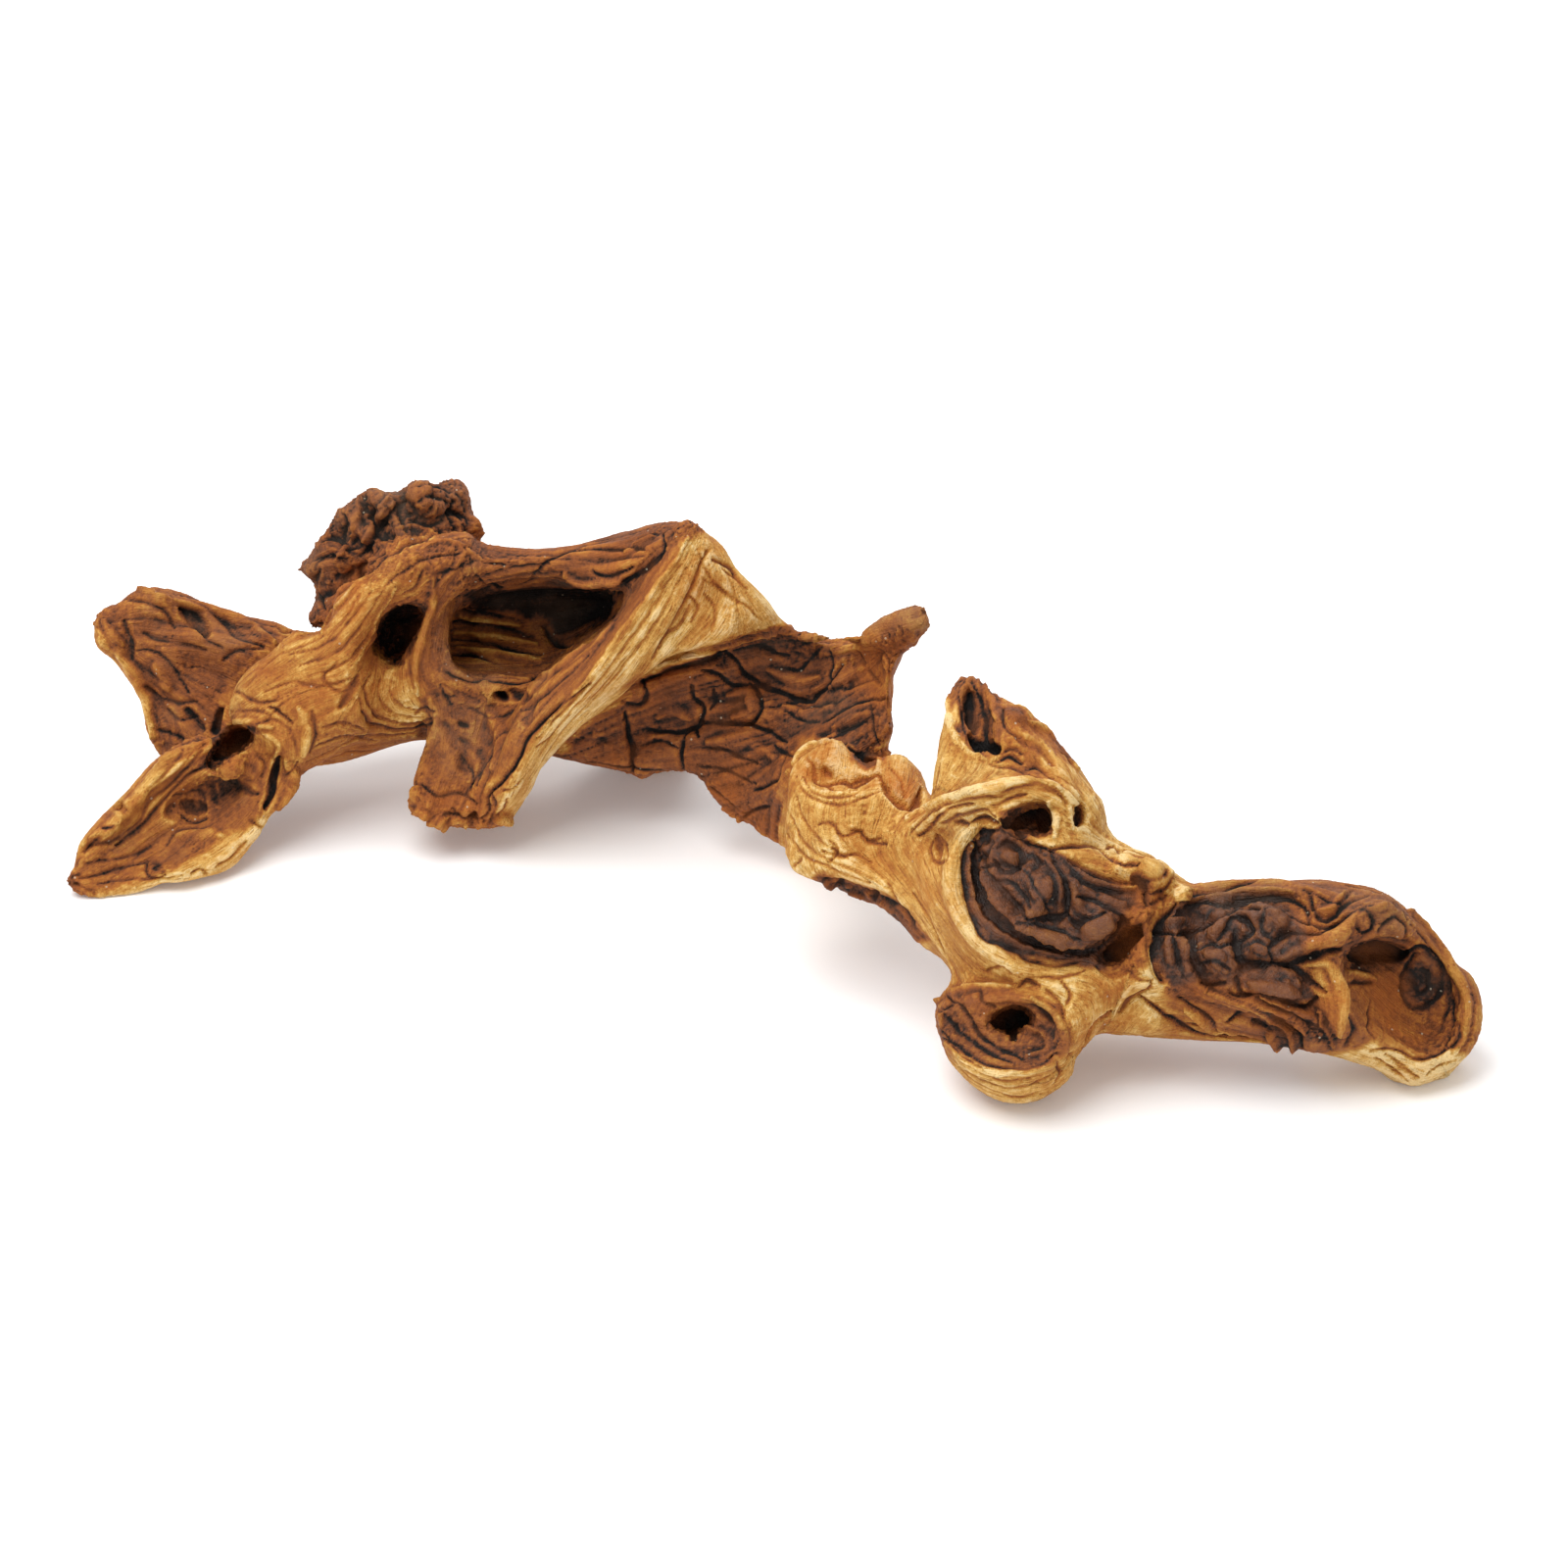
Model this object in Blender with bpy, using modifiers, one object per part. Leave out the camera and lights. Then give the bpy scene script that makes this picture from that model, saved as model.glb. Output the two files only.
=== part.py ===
"""Mopani root: one weathered piece of mopani wood that lies as a low arch on its feet.

Blender 4.5, metres, +Z up, origin under the middle of the root on the surface it lies on.
The root is one grown piece, so it is one object. Its limbs are lofts that are joined by a
voxel remesh, its hollows are cut by closed lofts, and its relief is pressed into the skin.
"""

import math

import bmesh
import bpy
import numpy as np
from mathutils import Matrix, Vector, noise
from mathutils.bvhtree import BVHTree

MM = 0.001
WOOD_COLOUR = (0.30, 0.15, 0.07, 1.0)
WOOD_ROUGHNESS = 0.75

# The front view that the outlines below are drawn in: 1600 x 1600 units, y downwards.
VIEW_UNITS = 1600
VIEW_WIDTH = 0.500  # across the whole view, at the root's middle
VIEW_DISTANCE = 1.25  # from the eye to the root's middle
VIEW_TILT = math.radians(30)  # the eye looks down by this much
VIEW_MIDDLE = Vector((0, 0, 60 * MM))

RING_SIDES = 24
STEPS_PER_SPAN = 5
SKIN_VOXEL = 1.8 * MM
TRIANGLES = 11600

# The weathered waves of the skin: their size along X, Y and Z, and their height on the side
# that faces the eye and on the side turned from it.
WAVE_SIZE = (40 * MM, 14 * MM, 14 * MM)
WAVE_FRONT = 0.7 * MM
WAVE_REAR = 3.0 * MM
WAVE_FINER = 0.6  # how much of its height each finer wave keeps
WAVE_STEP = 2.0  # how much finer each next wave is
WAVE_LAYERS = 3
GROOVE_STEP = 1.7  # how much closer the grooves lie than the waves

# Each limb is a row of stations: one edge of the limb, the other edge (view units), how far
# back the middle lies from the row's X axis, and half the thickness along the line of sight
# (both mm).

RIGHT_LIMB = (
    ((1110, 890), (1120, 1052), -58, 24),
    ((1180, 905), (1180, 1064), -62, 24),
    ((1240, 904), (1240, 1064), -65, 25),
    ((1300, 898), (1300, 1070), -67, 25),
    ((1360, 897), (1350, 1077), -68, 24),
    ((1412, 907), (1395, 1090), -68, 22),
    ((1450, 933), (1438, 1114), -68, 19),
    ((1486, 980), (1472, 1106), -69, 15),
    ((1510, 1020), (1500, 1078), -70, 9),
)
MAIN_BODY = (
    ((905, 800), (845, 898), -8, 20),
    ((950, 815), (895, 920), -22, 24),
    ((1010, 800), (940, 955), -38, 28),
    ((1075, 805), (985, 1006), -50, 30),
    ((1130, 845), (1070, 1040), -58, 30),
    ((1172, 870), (1130, 1060), -62, 27),
    ((1210, 894), (1185, 1062), -66, 24),
)
STUMP = (
    ((806, 785), (944, 790), 4, 20),
    ((801, 812), (950, 812), -3, 24),
    ((799, 845), (960, 840), -8, 26),
    ((802, 880), (970, 885), -16, 26),
    ((850, 898), (985, 935), -28, 24),
)
STUMP_LEFT_PEAK = (
    ((800, 820), (880, 825), 2, 16),
    ((808, 780), (886, 790), 6, 13),
    ((832, 760), (870, 768), 8, 8),
    ((842, 750), (860, 752), 9, 5),
)
STUMP_RIGHT_PEAK = (
    ((885, 815), (948, 815), -2, 15),
    ((888, 785), (942, 790), 2, 11),
    ((900, 768), (930, 772), 4, 7),
    ((908, 762), (924, 764), 5, 4),
)
PRONG = (
    ((940, 850), (1132, 862), -45, 27),
    ((946, 808), (1131, 818), -40, 25),
    ((952, 772), (1102, 780), -32, 21),
    ((957, 742), (1072, 742), -24, 17),
    ((964, 720), (1046, 722), -18, 13),
    ((972, 698), (1012, 706), -14, 9),
    ((982, 685), (1004, 687), -12, 5),
)
HORN = (
    ((872, 636), (890, 712), 48, 11),
    ((905, 622), (914, 700), 46, 10),
    ((928, 614), (934, 674), 45, 9),
    ((944, 621), (950, 648), 45, 7),
)
SHEET_RIM = (
    ((785, 624), (780, 656), 74, 8),
    ((825, 638), (825, 668), 64, 8),
    ((870, 636), (874, 668), 54, 8),
    ((910, 620), (922, 660), 47, 8),
)
SHEET = (
    ((600, 600), (575, 774), 92, 14),
    ((660, 570), (640, 796), 91, 15),
    ((720, 545), (700, 803), 86, 16),
    ((762, 592), (745, 831), 77, 17),
    ((805, 638), (790, 863), 65, 17),
    ((850, 638), (840, 880), 54, 16),
    ((895, 630), (880, 850), 48, 14),
    ((930, 617), (905, 770), 46, 12),
    ((947, 632), (914, 712), 45, 8),
)
FOLD = (
    ((700, 531), (722, 538), 74, 8),
    ((664, 572), (735, 582), 69, 13),
    ((632, 618), (712, 640), 66, 16),
    ((590, 660), (668, 684), 64, 15),
    ((540, 708), (628, 716), 62, 14),
    ((500, 760), (568, 766), 60, 13),
    ((470, 808), (538, 815), 58, 12),
    ((462, 838), (522, 840), 58, 8),
)
SWOOP = (
    ((704, 540), (724, 542), 74, 8),
    ((682, 590), (754, 580), 68, 10),
    ((660, 640), (786, 612), 66, 11),
    ((655, 676), (808, 638), 66, 9),
)
FRONT_LEG = (
    ((432, 685), (560, 690), 82, 9),
    ((432, 730), (550, 730), 76, 11),
    ((434, 770), (530, 775), 70, 11),
    ((420, 803), (530, 808), 65, 12),
    ((421, 826), (524, 834), 61, 12),
    ((444, 846), (514, 847), 58, 8),
)
HOLLOW_LOG = (
    ((250, 702), (275, 775), 80, 12),
    ((275, 680), (300, 784), 88, 19),
    ((330, 655), (345, 782), 94, 24),
    ((372, 600), (400, 764), 100, 28),
    ((430, 562), (440, 758), 102, 31),
    ((490, 560), (500, 768), 104, 31),
    ((550, 560), (560, 774), 104, 29),
    ((610, 552), (620, 788), 102, 26),
    ((670, 538), (690, 790), 98, 21),
    ((712, 536), (740, 800), 90, 15),
)
TOP_BEAM = (
    ((445, 548), (452, 600), 92, 18),
    ((505, 557), (500, 596), 92, 18),
    ((560, 557), (560, 590), 90, 18),
    ((620, 546), (608, 600), 86, 18),
    ((665, 530), (655, 598), 80, 16),
    ((708, 526), (700, 560), 77, 11),
)
LINK = (
    ((760, 700), (745, 828), 74, 18),
    ((812, 735), (800, 850), 54, 23),
    ((850, 760), (835, 864), 32, 27),
    ((890, 790), (868, 878), 8, 28),
)
STRUT = (
    ((432, 585), (478, 602), 80, 8),
    ((432, 618), (456, 626), 78, 6),
    ((420, 652), (440, 660), 76, 6),
    ((408, 690), (446, 690), 77, 7),
    ((425, 722), (472, 722), 78, 8),
)
SHOULDER = (
    ((482, 541), (480, 600), 84, 11),
    ((440, 546), (452, 600), 82, 12),
    ((406, 558), (425, 614), 80, 13),
    ((370, 590), (404, 618), 78, 13),
    ((345, 615), (386, 642), 77, 13),
    ((330, 645), (376, 668), 76, 15),
    ((298, 650), (388, 706), 76, 18),
    ((272, 662), (380, 745), 76, 18),
    ((245, 690), (335, 778), 74, 17),
    ((228, 722), (304, 792), 72, 12),
)
CREST = (
    ((310, 645), (420, 610), 98, 16),
    ((320, 605), (460, 580), 100, 16),
    ((312, 578), (486, 556), 102, 14),
    ((334, 548), (476, 540), 104, 12),
    ((352, 522), (468, 520), 106, 11),
    ((376, 508), (462, 500), 107, 9),
)
BACK_BLADE = (
    ((335, 690), (215, 800), 96, 14),
    ((312, 645), (168, 786), 104, 13),
    ((272, 633), (153, 728), 110, 12),
    ((225, 619), (136, 690), 113, 11),
    ((180, 602), (114, 662), 116, 10),
    ((140, 600), (97, 636), 118, 8),
)
LEFT_LEG = (
    ((235, 735), (308, 775), 80, 15),
    ((216, 748), (304, 792), 72, 14),
    ((194, 758), (300, 808), 66, 13),
    ((165, 772), (284, 828), 61, 12),
    ((148, 796), (262, 848), 57, 11),
    ((126, 818), (246, 870), 52, 11),
    ((103, 840), (228, 890), 46, 10),
    ((90, 858), (190, 898), 39, 9),
    ((82, 874), (140, 917), 33, 8),
    ((69, 887), (100, 921), 30, 7),
    ((59, 896), (80, 915), 28, 5),
)
KNOB = (
    ((985, 985), (1122, 985), -60, 20),
    ((968, 1006), (1126, 1012), -68, 23),
    ((950, 1025), (1129, 1036), -75, 26),
    ((950, 1048), (1118, 1056), -81, 27),
    ((960, 1072), (1100, 1080), -86, 25),
    ((976, 1095), (1098, 1098), -90, 20),
    ((1000, 1116), (1076, 1118), -93, 13),
    ((1024, 1127), (1056, 1128), -95, 6),
)
REAR_FOOT = (
    ((560, 680), (740, 690), 104, 22),
    ((590, 720), (730, 730), 112, 21),
    ((612, 752), (718, 758), 118, 18),
    ((632, 776), (704, 780), 121, 14),
    ((645, 800), (692, 800), 121, 10),
)
LIMBS = (
    RIGHT_LIMB, MAIN_BODY, STUMP, STUMP_LEFT_PEAK, STUMP_RIGHT_PEAK, PRONG, SHEET,
    SHEET_RIM, HORN, FOLD, SWOOP, FRONT_LEG, HOLLOW_LOG, LINK, TOP_BEAM, STRUT, SHOULDER,
    CREST, BACK_BLADE, LEFT_LEG, KNOB, REAR_FOOT,
)

# Round lumps that grow out of the limbs: the middle (view units), how deep it lies under the
# skin, and half its width, height and thickness along the sight (all mm).
CREST_LUMPS = (
    ((318, 580), 6, 4.5, 4.5, 8),
    ((336, 556), 5, 6, 6, 9),
    ((354, 532), 5, 6.5, 6, 9),
    ((372, 516), 5, 6, 5.5, 9),
    ((400, 514), 5, 6, 5.5, 9),
    ((430, 508), 3, 8.5, 8, 9),
    ((460, 508), 5, 6.5, 7, 9),
    ((472, 534), 5, 5, 6, 9),
    ((350, 572), 3, 5, 5, 7),
    ((382, 548), 3, 6, 5, 7),
    ((420, 542), 3, 6, 5, 7),
)
BURL_LUMPS = (
    ((1022, 872), 4, 6, 6, 8),
    ((1042, 880), 3, 5, 5, 7),
    ((1068, 905), 5, 10, 12, 11),
    ((1048, 938), 6, 10, 9, 10),
    ((1098, 915), 6, 9, 9, 10),
    ((1122, 938), 5, 9, 9, 10),
    ((1092, 960), 5, 12, 6, 9),
    ((1202, 925), 4, 5, 6, 7),
    ((1197, 955), 4, 5, 7, 7),
    ((1206, 985), 4, 6, 6, 7),
    ((1242, 978), 5, 9, 9, 9),
    ((1248, 938), 5, 8, 8, 8),
    ((1290, 935), 5, 9, 8, 9),
    ((1285, 972), 4, 9, 8, 8),
    ((1302, 1008), 3, 12, 5, 7),
    ((1400, 935), 6, 11, 8, 10),
    ((1428, 948), 4, 7, 6, 8),
    ((1365, 1015), 4, 5, 12, 7),
    ((1345, 955), 5, 10, 5, 8),
)
OTHER_LUMPS = (
    ((1090, 1015), 8, 14, 14, 14),
    ((1036, 731), 2, 5, 5, 7),
    ((110, 638), 4, 6, 8, 8),
    ((104, 850), 4, 5, 4, 6),
    ((935, 628), 2, 5, 5, 5),
    ((158, 887), 3, 5, 5, 5),
)
LUMPS = (*CREST_LUMPS, *BURL_LUMPS, *OTHER_LUMPS)

# Hollows, as closed lofts that are cut out of the joined limbs. Their stations are like
# those of the limbs, but with the depth of the middle under the skin in place of how far
# back it lies.
LOG_HOLLOW = (
    ((458, 640), (458, 668), 2, 18),
    ((472, 612), (472, 690), 2, 23),
    ((510, 597), (510, 689), 2, 25),
    ((550, 592), (550, 689), 2, 25),
    ((590, 600), (585, 660), 4, 24),
    ((630, 600), (622, 637), 6, 16),
)
LOG_HOLLOW_SIDE = (
    ((380, 648), (380, 662), 2, 16),
    ((393, 628), (395, 674), 2, 20),
    ((410, 614), (408, 680), 2, 20),
    ((424, 616), (420, 655), 2, 18),
    ((433, 622), (429, 638), 2, 12),
)
LOG_HOLLOW_REAR = (
    ((400, 635), (400, 665), 22, 8),
    ((440, 622), (440, 676), 24, 9),
    ((480, 612), (480, 680), 22, 9),
)
LEG_MOUTH = (
    ((207, 772), (212, 786), 2, 7),
    ((220, 750), (232, 784), 4, 13),
    ((240, 738), (248, 770), 5, 15),
    ((258, 738), (263, 752), 5, 11),
)
SPOON_BOWL = (
    ((1370, 980), (1376, 1025), 2, 8),
    ((1392, 960), (1398, 1052), 2, 14),
    ((1425, 956), (1425, 1068), 2, 17),
    ((1458, 964), (1455, 1076), 2, 15),
    ((1490, 995), (1484, 1064), 1, 9),
)
SPOON_POCKET = (
    ((1364, 968), (1368, 990), 4, 10),
    ((1395, 960), (1400, 994), 8, 14),
    ((1432, 966), (1434, 988), 8, 12),
)
KNOB_MOUTH = (
    ((963, 1020), (960, 1060), 1, 6),
    ((985, 1010), (985, 1082), 1, 9),
    ((1020, 1010), (1020, 1092), 1, 10),
    ((1055, 1016), (1052, 1090), 1, 9),
    ((1078, 1035), (1075, 1078), 1, 6),
)
KNOB_HOLE = (
    ((1010, 1034), (1012, 1052), 8, 14),
    ((1032, 1026), (1034, 1060), 8, 18),
    ((1052, 1028), (1052, 1050), 8, 14),
)
PRONG_GROOVE = (
    ((976, 704), (1004, 704), 1, 3),
    ((973, 728), (1018, 728), 1, 6),
    ((980, 750), (1024, 750), 1, 9),
    ((992, 772), (1012, 772), 1, 7),
)
BURL_CAVE = (
    ((1020, 832), (1022, 844), 2, 6),
    ((1045, 824), (1047, 848), 3, 10),
    ((1062, 820), (1064, 852), 4, 14),
    ((1076, 828), (1076, 846), 3, 9),
)
SMALL_HOLE = (
    ((1094, 822), (1095, 840), 2, 8),
    ((1102, 816), (1102, 845), 2, 10),
    ((1110, 822), (1109, 840), 2, 8),
)
STUMP_BREAK = (
    ((816, 778), (822, 796), 1, 5),
    ((845, 768), (850, 808), 1, 8),
    ((880, 776), (884, 806), 1, 8),
    ((912, 790), (914, 806), 1, 5),
)
BURL_RECESS = (
    ((1118, 965), (1122, 988), 2, 6),
    ((1140, 945), (1145, 985), 2, 9),
    ((1160, 935), (1164, 965), 2, 6),
)
HOLLOWS = (
    LOG_HOLLOW, LOG_HOLLOW_SIDE, LOG_HOLLOW_REAR, LEG_MOUTH, SPOON_BOWL, SPOON_POCKET,
    KNOB_MOUTH, KNOB_HOLE, PRONG_GROOVE, BURL_CAVE, SMALL_HOLE, STUMP_BREAK, BURL_RECESS,
)

# Ridges (raised) and grooves and dents (sunk) that run over the front of the skin: half the
# width, the height (mm) and the spots of the line (view units).
SHEET_RELIEF = (
    (26, -7, ((690, 765), (760, 735), (830, 690), (885, 665))),
    (14, -3, ((640, 745), (700, 720), (760, 680))),
    (5, -3, ((735, 668), (765, 695), (805, 708), (835, 712), (862, 682))),
    (5, -2.5, ((690, 747), (750, 738), (790, 748), (805, 760))),
    (5, -2.5, ((640, 722), (646, 750), (645, 785))),
    (6, 2.5, ((600, 788), (670, 796), (738, 828), (790, 862))),
    (6, 2.5, ((815, 648), (870, 646), (915, 628))),
    (8, 3, ((770, 705), (780, 730))),
)
LEG_RELIEF = (
    (13, -7, ((242, 795), (200, 828), (150, 862), (112, 886))),
    (6, 5, ((205, 762), (165, 785), (140, 815), (108, 846), (88, 872))),
    (6, 4, ((285, 815), (255, 848), (230, 876), (180, 890))),
    (5, -4, ((284, 778), (276, 810), (272, 830))),
    (7, 3, ((268, 742), (296, 770), (290, 800))),
    (5, -3, ((195, 826), (202, 832))),
    (12, -4, ((480, 730), (500, 770), (470, 810))),
    (5, 2.5, ((436, 770), (428, 800), (440, 832))),
)
LOG_RELIEF = (
    (10, -3, ((735, 610), (700, 640))),
    (5, 2.5, ((704, 545), (652, 622), (604, 690), (545, 755), (512, 815))),
    (5, 3, ((578, 592), (620, 590), (668, 560), (700, 540))),
    (5, -2.5, ((580, 572), (620, 566), (680, 545))),
    (6, 2.5, ((462, 540), (405, 560), (352, 606), (300, 652))),
    (6, -2, ((372, 692), (392, 730), (440, 740))),
    (6, 2, ((455, 692), (505, 698), (545, 700))),
)
CREST_RELIEF = (
    (5, 3, ((400, 585), (352, 560), (318, 578))),
    (5, 3, ((412, 575), (372, 540), (352, 522))),
    (5, 3, ((425, 565), (398, 525), (380, 505))),
    (4, -3, ((395, 575), (345, 545), (330, 548))),
    (4, -3, ((410, 565), (380, 530), (366, 510))),
    (4, -3, ((430, 560), (415, 530), (408, 500))),
    (5, -3, ((320, 610), (360, 592), (392, 582))),
    (7, -4, ((245, 640), (195, 630), (150, 640))),
    (6, 3, ((280, 660), (230, 640), (170, 615))),
    (9, -5, ((235, 700), (200, 680))),
    (9, -5, ((215, 632), (180, 626))),
    (6, 4, ((108, 655), (140, 690), (162, 750))),
    (7, 3, ((150, 612), (210, 650), (250, 665))),
)
BODY_RELIEF = (
    (5, -6, ((1000, 850), (990, 885), (998, 925), (1025, 955), (1060, 972), (1110, 978))),
    (6, 5, ((990, 846), (975, 885), (984, 930), (1010, 962), (1045, 985))),
    (4, -4, ((1048, 862), (1060, 890), (1045, 915), (1030, 930))),
    (4, -4, ((1085, 885), (1083, 915), (1072, 945))),
    (4, -3, ((1112, 905), (1105, 935), (1085, 955))),
    (5, 3, ((930, 850), (970, 825), (1020, 805), (1060, 800), (1092, 815))),
    (6, -3, ((950, 855), (985, 838), (1015, 834))),
    (6, 3, ((1080, 868), (1130, 880), (1165, 900))),
    (7, 3, ((1020, 745), (1060, 765), (1085, 790))),
    (9, 3, ((965, 780), (985, 740))),
    (6, 2.5, ((800, 880), (860, 902), (925, 935), (960, 985))),
    (8, -2, ((880, 860), (930, 900))),
)
LIMB_RELIEF = (
    (5, -4, ((1190, 905), (1180, 950), (1188, 1000))),
    (4, 3, ((1200, 915), (1250, 905), (1310, 905), (1350, 915))),
    (5, -4, ((1205, 935), (1230, 922), (1290, 912), (1330, 925))),
    (6, 3, ((1175, 905), (1168, 950), (1175, 1000))),
    (4, -3, ((1222, 925), (1222, 965), (1232, 1000), (1262, 1010))),
    (4, -3, ((1268, 925), (1265, 955), (1275, 990))),
    (5, -3, ((1210, 1012), (1250, 1035), (1290, 1045), (1320, 1050))),
    (4, 2.5, ((1212, 1002), (1260, 1022), (1320, 1036), (1345, 1068))),
    (6, 3, ((1490, 985), (1504, 1022), (1494, 1070), (1440, 1098))),
    (5, -3, ((1150, 1030), (1175, 1020), (1220, 1052), (1290, 1062))),
    (5, -3, ((1335, 985), (1340, 1020), (1345, 1045))),
)
RELIEF = (
    *SHEET_RELIEF, *LEG_RELIEF, *LOG_RELIEF, *CREST_RELIEF, *BODY_RELIEF, *LIMB_RELIEF,
)


def view_axes():
    """The eye's place and its sight, right and up directions."""
    sight = Vector((0, math.cos(VIEW_TILT), -math.sin(VIEW_TILT)))
    up = Vector((0, math.sin(VIEW_TILT), math.cos(VIEW_TILT)))
    return VIEW_MIDDLE - sight * VIEW_DISTANCE, sight, Vector((1, 0, 0)), up


EYE, SIGHT, RIGHT, UP = view_axes()
SLOPE_PER_UNIT = VIEW_WIDTH / VIEW_DISTANCE / VIEW_UNITS


def line_of_sight(spot):
    """The ray through a spot of the view, one metre long along the sight."""
    across = (spot[0] - VIEW_UNITS / 2) * SLOPE_PER_UNIT
    upward = (VIEW_UNITS / 2 - spot[1]) * SLOPE_PER_UNIT
    return SIGHT + RIGHT * across + UP * upward


def depth_at_back(spot, back):
    """How far along the sight a spot lies that is this far back (mm) from the X axis."""
    return (back * MM - EYE.y) / line_of_sight(spot).y


def depth_under(obj):
    """The function that gives how far along the sight a spot lies under the object's skin."""
    tree = BVHTree.FromObject(obj, bpy.context.evaluated_depsgraph_get())

    def depth(spot, under):
        ray = line_of_sight(spot)
        hit = tree.ray_cast(EYE, ray.normalized())[0]
        if hit is None:
            hit = tree.find_nearest(EYE + ray * VIEW_DISTANCE)[0]
            hit = tree.find_nearest(EYE + ray * (hit - EYE).dot(SIGHT))[0]
        return (hit - EYE).dot(SIGHT) + under * MM

    return depth


def station_frame(edge_a, edge_b, place, half, depth_of):
    """Middle, half width and half thickness of a station's ellipse."""
    middle = ((edge_a[0] + edge_b[0]) / 2, (edge_a[1] + edge_b[1]) / 2)
    depth = depth_of(middle, place)
    point_a = EYE + line_of_sight(edge_a) * depth
    point_b = EYE + line_of_sight(edge_b) * depth
    width = (point_b - point_a) / 2
    inward = line_of_sight(middle).normalized()
    inward = (inward - width * inward.dot(width) / width.length_squared).normalized()
    return (point_a + point_b) / 2, width, inward * half * MM


def through(points, steps):
    """Points of a Catmull-Rom curve through a row of vectors, with steps to each span."""
    row = [points[0] * 2 - points[1], *points, points[-1] * 2 - points[-2]]
    found = []
    for before, start, end, after in zip(row, row[1:], row[2:], row[3:]):
        for i in range(steps):
            t = i / steps
            found.append(
                0.5 * (2 * start + (end - before) * t
                       + (2 * before - 5 * start + 4 * end - after) * t ** 2
                       + (3 * start - before - 3 * end + after) * t ** 3)
            )
    return [*found, points[-1]]


def loft(bm, stations, depth_of):
    """Adds a closed loft through the stations to bm."""
    parts = zip(*(station_frame(*station, depth_of) for station in stations))
    middles, widths, depths = (through(list(p), STEPS_PER_SPAN) for p in parts)
    frames = []
    for middle, width, depth in zip(middles, widths, depths):
        path = width.cross(depth).normalized() * MM
        columns = (width, depth, path, middle)
        frame = Matrix([[*(c[i] for c in columns)] for i in range(3)] + [[0, 0, 0, 1]])
        frames.append(frame)
    ring = bmesh.ops.create_circle(
        bm, cap_ends=True, segments=RING_SIDES, radius=1.0, matrix=frames[0]
    )["verts"]
    edges = list({edge for vert in ring for edge in vert.link_edges})
    for old, new in zip(frames, frames[1:]):
        grown = bmesh.ops.extrude_edge_only(bm, edges=edges)["geom"]
        ring = [g for g in grown if isinstance(g, bmesh.types.BMVert)]
        edges = [
            g for g in grown
            if isinstance(g, bmesh.types.BMEdge) and g.verts[0] in ring and g.verts[1] in ring
        ]
        bmesh.ops.transform(bm, matrix=new @ old.inverted(), verts=ring)
    bmesh.ops.contextual_create(bm, geom=edges)


def lump(bm, middle, under, across, upward, along, depth_of):
    """Adds a round lump with its half sizes across, up and along the sight to bm."""
    centre = EYE + line_of_sight(middle) * depth_of(middle, under)
    columns = (RIGHT * across * MM, UP * upward * MM, SIGHT * along * MM, centre)
    frame = Matrix([[*(c[i] for c in columns)] for i in range(3)] + [[0, 0, 0, 1]])
    bmesh.ops.create_icosphere(bm, subdivisions=3, radius=1.0, matrix=frame)


def new_object(name, mesh, collection):
    obj = bpy.data.objects.new(name, mesh)
    collection.objects.link(obj)
    return obj


def lofted(name, rows, depth_of, collection):
    """One object that holds a closed loft for each row of stations."""
    bm = bmesh.new()
    for stations in rows:
        loft(bm, stations, depth_of)
    bmesh.ops.recalc_face_normals(bm, faces=bm.faces)
    mesh = bpy.data.meshes.new(name)
    bm.to_mesh(mesh)
    bm.free()
    return new_object(name, mesh, collection)


def grow_lumps(obj, lumps):
    """Adds the round lumps to the object's mesh, half sunk in its skin."""
    depth_of = depth_under(obj)
    bm = bmesh.new()
    bm.from_mesh(obj.data)
    for sizes in lumps:
        lump(bm, *sizes, depth_of)
    bm.to_mesh(obj.data)
    bm.free()


def apply_modifiers(obj):
    """Replaces the object's mesh by what its modifiers make of it."""
    bpy.context.view_layer.update()
    graph = bpy.context.evaluated_depsgraph_get()
    mesh = bpy.data.meshes.new_from_object(obj.evaluated_get(graph))
    obj.modifiers.clear()
    old = obj.data
    obj.data = mesh
    bpy.data.meshes.remove(old)
    mesh.name = obj.name


def skin(obj, voxel, smoothing):
    """Joins the overlapping bodies of an object in one closed skin, and smooths it."""
    remesh = obj.modifiers.new("skin", "REMESH")
    remesh.mode = "VOXEL"
    remesh.voxel_size = voxel
    smooth = obj.modifiers.new("smooth", "SMOOTH")
    smooth.factor = 0.5
    smooth.iterations = smoothing
    apply_modifiers(obj)


def cut(obj, cutter):
    modifier = obj.modifiers.new("hollow", "BOOLEAN")
    modifier.operation = "DIFFERENCE"
    modifier.object = cutter
    apply_modifiers(obj)


def distance_to_line(points, line):
    """The distance of each point to a line of straight pieces."""
    nearest = np.full(len(points), np.inf)
    for start, end in zip(line, line[1:]):
        piece = end - start
        along = np.clip((points - start) @ piece / (piece @ piece), 0, 1)
        nearest = np.minimum(nearest, np.linalg.norm(points - start - along[:, None] * piece, axis=1))
    return nearest


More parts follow.
